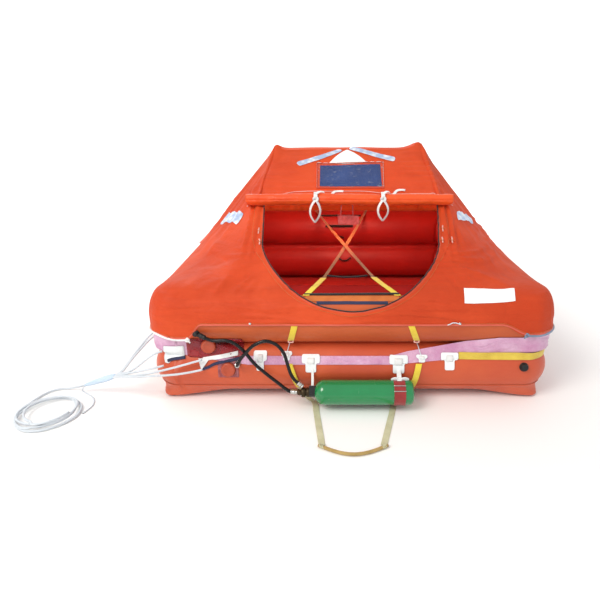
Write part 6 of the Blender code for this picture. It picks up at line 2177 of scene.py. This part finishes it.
def makeStudsAndToggles():
    profile = [(0, 0.0052), (0.0008, 0.0054), (0.0024, 0.0050), (0.0032, 0.0038), (0.0036, 0.0018),
               (0.0036, 0.0002)]
    spots = [(0, -0.40), (0, 0.42)] + [(turn, x) for turn in (90, 180, -90) for x in (-0.42, 0.0, 0.42)]
    studs = []
    for k, (turn, x) in enumerate(spots):
        hit = canopyTree.ray_cast(turned(turn, x, -1.5, 0.356), turned(turn, 0, 1, 0))[0]
        studs.append(lathe(f"hem_stud_{k}", profile, hit + turned(turn, 0, -0.0012, 0),
                           turned(turn, 0, -1, 0), sides=28))
    place(joined("hem_studs", studs), solidPaint["nickel"])
    # Short white line tucked through the hem by the right stud
    path = [onFront(lerp(0.372, 0.424, t), 0.352 + 0.006 * math.sin(3 * t), 0.0040)
            for t in np.linspace(0, 1, 20)]
    roundLine("hem_lashing_line", path, 0.0020, 8, ropePaint, "canopy_door_panel")
    # Toggles beside the door that hold the flap when it is down
    table = (("a", -0.398, 0.634), ("b", -0.390, 0.603), ("c", 0.408, 0.642), ("d", 0.394, 0.606),
             ("e", 0.440, 0.605))
    for name, x, z in table:
        rod = [onFront(x, z + up, 0.0036) for up in (-0.0090, -0.0084, -0.004, 0, 0.004, 0.0084, 0.0090)]
        fat = [0.5, 0.85, 1.0, 0.8, 1.0, 0.85, 0.5]
        roundLine("door_toggle_" + name, rod, 0.0033, 12, solidPaint["clip"], "canopy_door_panel",
             scaleAt=lambda s: fat[round(s * 6)])
        # An orange loop of cord holds it by its waist
        loop = [onFront(x + 0.010 * t, z, 0.0022 + 0.0050 * (1 - t * t)) for t in np.linspace(-1, 1, 14)]
        roundLine("door_toggle_loop_" + name, loop, 0.0014, 8, strapPaint["orange"], "canopy_door_panel")


cornerLine = {"reach": (0.650, 0.688), "below": 0.0004, "r": 0.0044}


def makeCornerTies():
    # A line draws the hem down round each corner, from a knot on one side to a knot on the next
    ring = planRing(hull["half"] + 0.0068, hull["cornerOuter"], perSide=200, cornerSteps=26)
    for k, (sx, sy) in enumerate(((-1, -1), (1, -1), (1, 1), (-1, 1))):
        tint = strapPaint["white"] if sx < 0 else strapPaint["grey"]
        reach = cornerLine["reach"][0 if sx < 0 else 1]
        near = [p for p in ring if p[0] * sx > reach and p[1] * sy > reach]
        middle = Vector((0.72 * sx, 0.72 * sy, 0))
        near.sort(key=lambda p: math.atan2((p[1] - middle.y) * sy, (p[0] - middle.x) * sx))
        path = [Vector((x, y, hemAt(x, y) - cornerLine["below"] + 0.0025 * math.sin(k + 30 * x))) for x,
                y in near]
        path = smoothRoute(path[::3] + [path[-1]], 0.006)
        roundLine(f"corner_draw_line_{k}", path, cornerLine["r"], 10, tint, "canopy_door_panel")
        for j, (end, along) in enumerate(((path[0], Vector((0, 1, 0))), (path[-1], Vector((1, 0, 0))))):
            knot = []
            for a in np.linspace(0, 2 * math.pi * 1.5, 34):
                out = Vector((sx, 0, 0)) if j == 0 else Vector((0, sy, 0))
                knot.append(end + along * (0.0062 * math.cos(a)) + Vector((0, 0, 0.0066 * math.sin(a))) + out
                            * (0.003 * math.sin(2 * a)))
            tail = along * (-0.010 * (sy if j == 0 else sx)) + Vector((0, 0, -0.013))
            knot += [end + tail * 0.6, end + tail]
            roundLine(f"corner_knot_{k}_{j}", knot, cornerLine["r"] * 0.8, 10, tint, "canopy_door_panel")


def makeLookout():
    # A short gathered sleeve in the rear panel, tied shut
    slope = math.atan(canopy["slope"])
    centre = Vector((0, 0.40, roofZ(0.40)))
    out = Vector((0, math.sin(slope), math.cos(slope)))
    across = Vector((0, math.cos(slope), -math.sin(slope)))
    marks = [(0.0006, 0.125), (0.006, 0.1245), (0.016, 0.118), (0.030, 0.098), (0.045, 0.075),
             (0.060, 0.052), (0.072, 0.036),
             (0.078, 0.031), (0.086, 0.0295), (0.096, 0.030), (0.108, 0.034), (0.118, 0.040), (0.125, 0.0445)]
    rows = []
    for t in np.linspace(0, 1, 50):
        lift = np.interp(t, np.linspace(0, 1, len(marks)), [m[0] for m in marks])
        radius = np.interp(t, np.linspace(0, 1, len(marks)), [m[1] for m in marks])
        deep = 0.16 * smoothStep(0.05, 0.55, t) * (0.8 + 0.2 * math.cos(9 * t))
        row = []
        for k in range(120):
            a = 2 * math.pi * k / 120
            folds = math.cos(15 * a + 1.1 * math.sin(3 * a) + 0.5 * t) + 0.35 * math.cos(31 * a)
            r = radius * (1 - deep * 0.5 + deep * 0.5 * folds)
            row.append(centre + out * lift + Vector((1, 0, 0)) * (r * math.cos(a)) + across
                       * (r * math.sin(a)))
        rows.append(row)
    sleeve = faceOut(gridMesh("lookout_sleeve_cloth", rows, closeAcross=True))
    place(sleeve, paint["canopy"], ["lookout_sleeve"], 0.0011, -1)
    # Cut tapered: 0.785 m round the seam, 0.335 m round the mouth, 0.170 m long, so 0.560 m wide on average
    tie = [centre + out * (0.082 + 0.006 * a / 12.6) + Vector((1, 0, 0)) * (0.0335 * math.cos(a)) + across
           * (0.0335 * math.sin(a))
           for a in np.linspace(0, 4 * math.pi, 70)]
    roundLine("lookout_tie", tie, 0.0026, 8, strapPaint["white"], "lookout_sleeve")
    ring = [onRoof(0.131 * math.cos(a), 0.40 + 0.131 * math.sin(a) * math.cos(slope), 0.0016)
            for a in np.linspace(0, 2 * math.pi, 73)]
    place(sweep("lookout_seam", ring, flatSection(0.0060, 0.0012, 8), caps=False), paint["hem"])


makeRoofPieces()
makeWelts()
makeStudsAndToggles()
makeCornerTies()
makeLookout()
print("signs, welts, hem, toggles and lookout are on")


# Inside the raft
inside = {
    # name: (x at each bend, sag in the middle)
    "straps": {"inner_strap_a": ((-0.186, -0.171, -0.161, -0.154, -0.148, -0.139, -0.117, 0.152), 0.018),
               "inner_strap_b": ((0.185, 0.166, 0.154, 0.145, 0.138, 0.126, 0.100, -0.190), 0.008)},
    # where the straps bend, front to rear
    "strapTurns": (-0.800, -0.780, -0.765, -0.750, -0.735, -0.700, -0.620, 0.760),
    "yellowTo": -0.612,  # the lit, yellow ends reach back to here; behind them the straps are painted in shade
    # Black grab lines on the rear tubes: level, left end, right end, sag, radius
    "rearLines": ((0.447, -0.156, 0.109, 0.0, 0.0062), (0.388, -0.120, 0.059, 0.0, 0.0080),
                  (0.306, -0.039, 0.000, -0.010, 0.0045),
                  (0.172, -0.038, 0.046, 0.020, 0.0055)),
    # Black line over the front tube, a painted shadow at the grip strip's edge: middle y, left end, right
    # end, radius
    "frontLine": (-0.788, -0.190, 0.186, 0.0044),
    # Bands across the sill: y from, y to, half width; the apron is painted shade and the navy band a painted
    # shadow line
    "sillShade": (-0.690, -0.789, 0.340),
    "grip": (-0.792, -0.813, 0.185),
    "navy": (-0.813, -0.823, 0.140),
}


def frontTopAt(y, lift):
    reach = min(abs(abs(y) - axisHalf), 0.112)
    return hull["upperZ"] + math.sqrt((hull["tubeR"] + lift) ** 2 - reach ** 2)


def makeInside():
    top = hull["upperZ"] + hull["tubeR"] + 0.0020
    for name, (turns, sag) in inside["straps"].items():
        rows = []
        for y in np.linspace(-0.790, 0.765, 90):
            x = np.interp(y, inside["strapTurns"], turns)
            z = frontTopAt(y, 0.0030) if abs(y) > axisHalf else top - sag * (1 - (y / axisHalf) ** 2)
            twist = 0.0030 * math.sin(y * 5 + turns[0] * 9) * (1 - (y / 0.8) ** 2)
            rows.append([(x + 0.0082 * u, y, z + twist * u) for u in acrossStrap])
        # Painted shade: inside the canopy the strap is drawn in ochre
        place(gridMesh(name + "_webbing", rows), strapPaint["yellowInShade"], [name], 0.0015)
        # The strap's lit front end in its own yellow, laid over the shade-painted strap
        rows = []
        for y in np.linspace(-0.796, inside["yellowTo"], 30):
            x = np.interp(y, inside["strapTurns"], turns)
            z = frontTopAt(y, 0.0050) if abs(y) > axisHalf else top + 0.0020 - sag * (1 - (y / axisHalf) ** 2)
            rows.append([(x + 0.0125 * u, y, z) for u in acrossTape])
        place(gridMesh(name + "_end", rows), strapPaint["yellow"], (), 0.0015)
    for k, (z, x0, x1, deep, thick) in enumerate(inside["rearLines"]):
        path = []
        for t in np.linspace(0, 1, 40):
            level = z - deep * math.sin(math.pi * t)
            centreZ = hull["lowerZ"] if level < contactZ else hull["upperZ"]
            reach = math.sqrt(max(0.0, (hull["tubeR"] + thick) ** 2 - (level - centreZ) ** 2))
            path.append(Vector((lerp(x0, x1, t), axisHalf - reach, level)))
        roundLine(f"inner_grab_line_{k}", path, thick, 10, strapPaint["black"], "upper_tube")
    # A slack line between the straps, and the black line where the red shade cloth ends on the front tube,
    # painted as shadow along the grip strip's edge
    path = [Vector((lerp(-0.101, 0.074, t), -0.593, 0.465 - 0.008 * math.sin(math.pi * t)))
            for t in np.linspace(0, 1, 40)]
    roundLine("inner_slack_line", path, 0.0036, 10, strapPaint["black"], "upper_tube")
    y, x0, x1, thick = inside["frontLine"]
    path = [Vector((x, y, frontTopAt(y, thick) + 0.0012 * math.sin(9 * x))) for x in np.linspace(x0, x1, 40)]
    roundLine("sill_shadow_line_black", path, thick, 10, strapPaint["black"], "upper_tube")
    # The apron is painted shade; the navy line is a painted shadow beside the orange grip strip
    for name, part, material in (("sill_painted_shade", "sillShade", paint["sillShade"]),
                                 ("sill_grip_strip", "grip", strapPaint["orange"]),
                                 ("sill_shadow_line_navy", "navy", strapPaint["navy"])):
        y0, y1, half = inside[part]
        rows = []
        for x in np.linspace(-half, half, 80):
            wave = 0.0010 * noiseAt(x * 12, y0, 2.0)
            rows.append([(x, y, frontTopAt(y, 0.0014 + lift + max(0.0, wave)))
                         for y, lift in zip(np.linspace(y0, y1, 9),
                                            (0, 0.0008, 0.0011, 0.0012, 0.0012, 0.0012, 0.0011, 0.0008, 0))])
        place(faceOut(gridMesh(name, rows)), material)
    # A clear label on two tapes hangs inside the roof, behind the roll
    tab = []
    for v in np.linspace(0, 1, 12):
        tab.append([(lerp(-0.053, 0.050, u) + 0.004 * v, -0.200 - 0.010 * v + 0.004 * math.sin(5 * u),
                     lerp(0.640, 0.598, v))
                    for u in np.linspace(0, 1, 16)])
    place(gridMesh("inner_label_clear", tab), paint["clearRosy"])
    for name, x in (("a", -0.038), ("b", 0.024)):
        path = [Vector((x * 0.7, -0.190, 0.808)), Vector((x * 0.8, -0.195, 0.720)),
                Vector((x, -0.200, 0.636))]
        flatRun("inner_label_tape_" + name, smoothRoute(path, 0.008), 0.0030, 0.0008, paint["clearRosy"])


# Tapes that the bridle's legs are tied to, and navy strips beside them painted as their shadow: (name, [(x,
# z)...], half width, material)
tapes = (
    ("bridle_tape_cover", ((-0.460, 0.2105), (-0.490, 0.2060), (-0.520, 0.2015), (-0.560, 0.1960),
                           (-0.600, 0.1900)), 0.0080, "white"),
    ("bridle_cover_shadow_strip", ((-0.449, 0.1935), (-0.500, 0.1840), (-0.548, 0.1740), (-0.566, 0.1670),
                             (-0.580, 0.1600),
                             (-0.604, 0.1520)), 0.0052, "navy"),
    ("bridle_patch_shadow_strip", ((-0.673, 0.1950), (-0.700, 0.1920), (-0.725, 0.1880), (-0.745, 0.1790)), 0.0052,
     "navy"),
)


def makeBridleTapes():
    for name, points, half, material in tapes:
        middle = smoothRoute([(x, 0, z) for x, z in points], 0.006)
        rows = []
        for k, p in enumerate(middle):
            along = alongAt(middle, k).normalized()
            up = Vector((-along.z, 0, along.x))
            rows.append([onSkin(p.x + up.x * half * t, p.z + up.z * half * t, 0.0042) for t in acrossTape])
        place(gridMesh(name, rows), strapPaint[material], (), 0.0014)
    # The cover tape ends in a sewn triangle, a rope end at each of its corners
    rows = []
    for t in np.linspace(0, 1, 12):
        top, low = (lerp(-0.575, -0.620, t), lerp(0.193, 0.191, t)), (lerp(-0.580, -0.607, t),
                                                                      lerp(0.184, 0.149, t))
        rows.append([onSkin(lerp(top[0], low[0], s), lerp(top[1], low[1], s), 0.0050)
                     for s in np.linspace(0, 1, 9)])
    place(gridMesh("bridle_tape_triangle", rows), strapPaint["white"], (), 0.0016)


makeBridleTapes()
makeInside()
print("inner straps and lines are in")
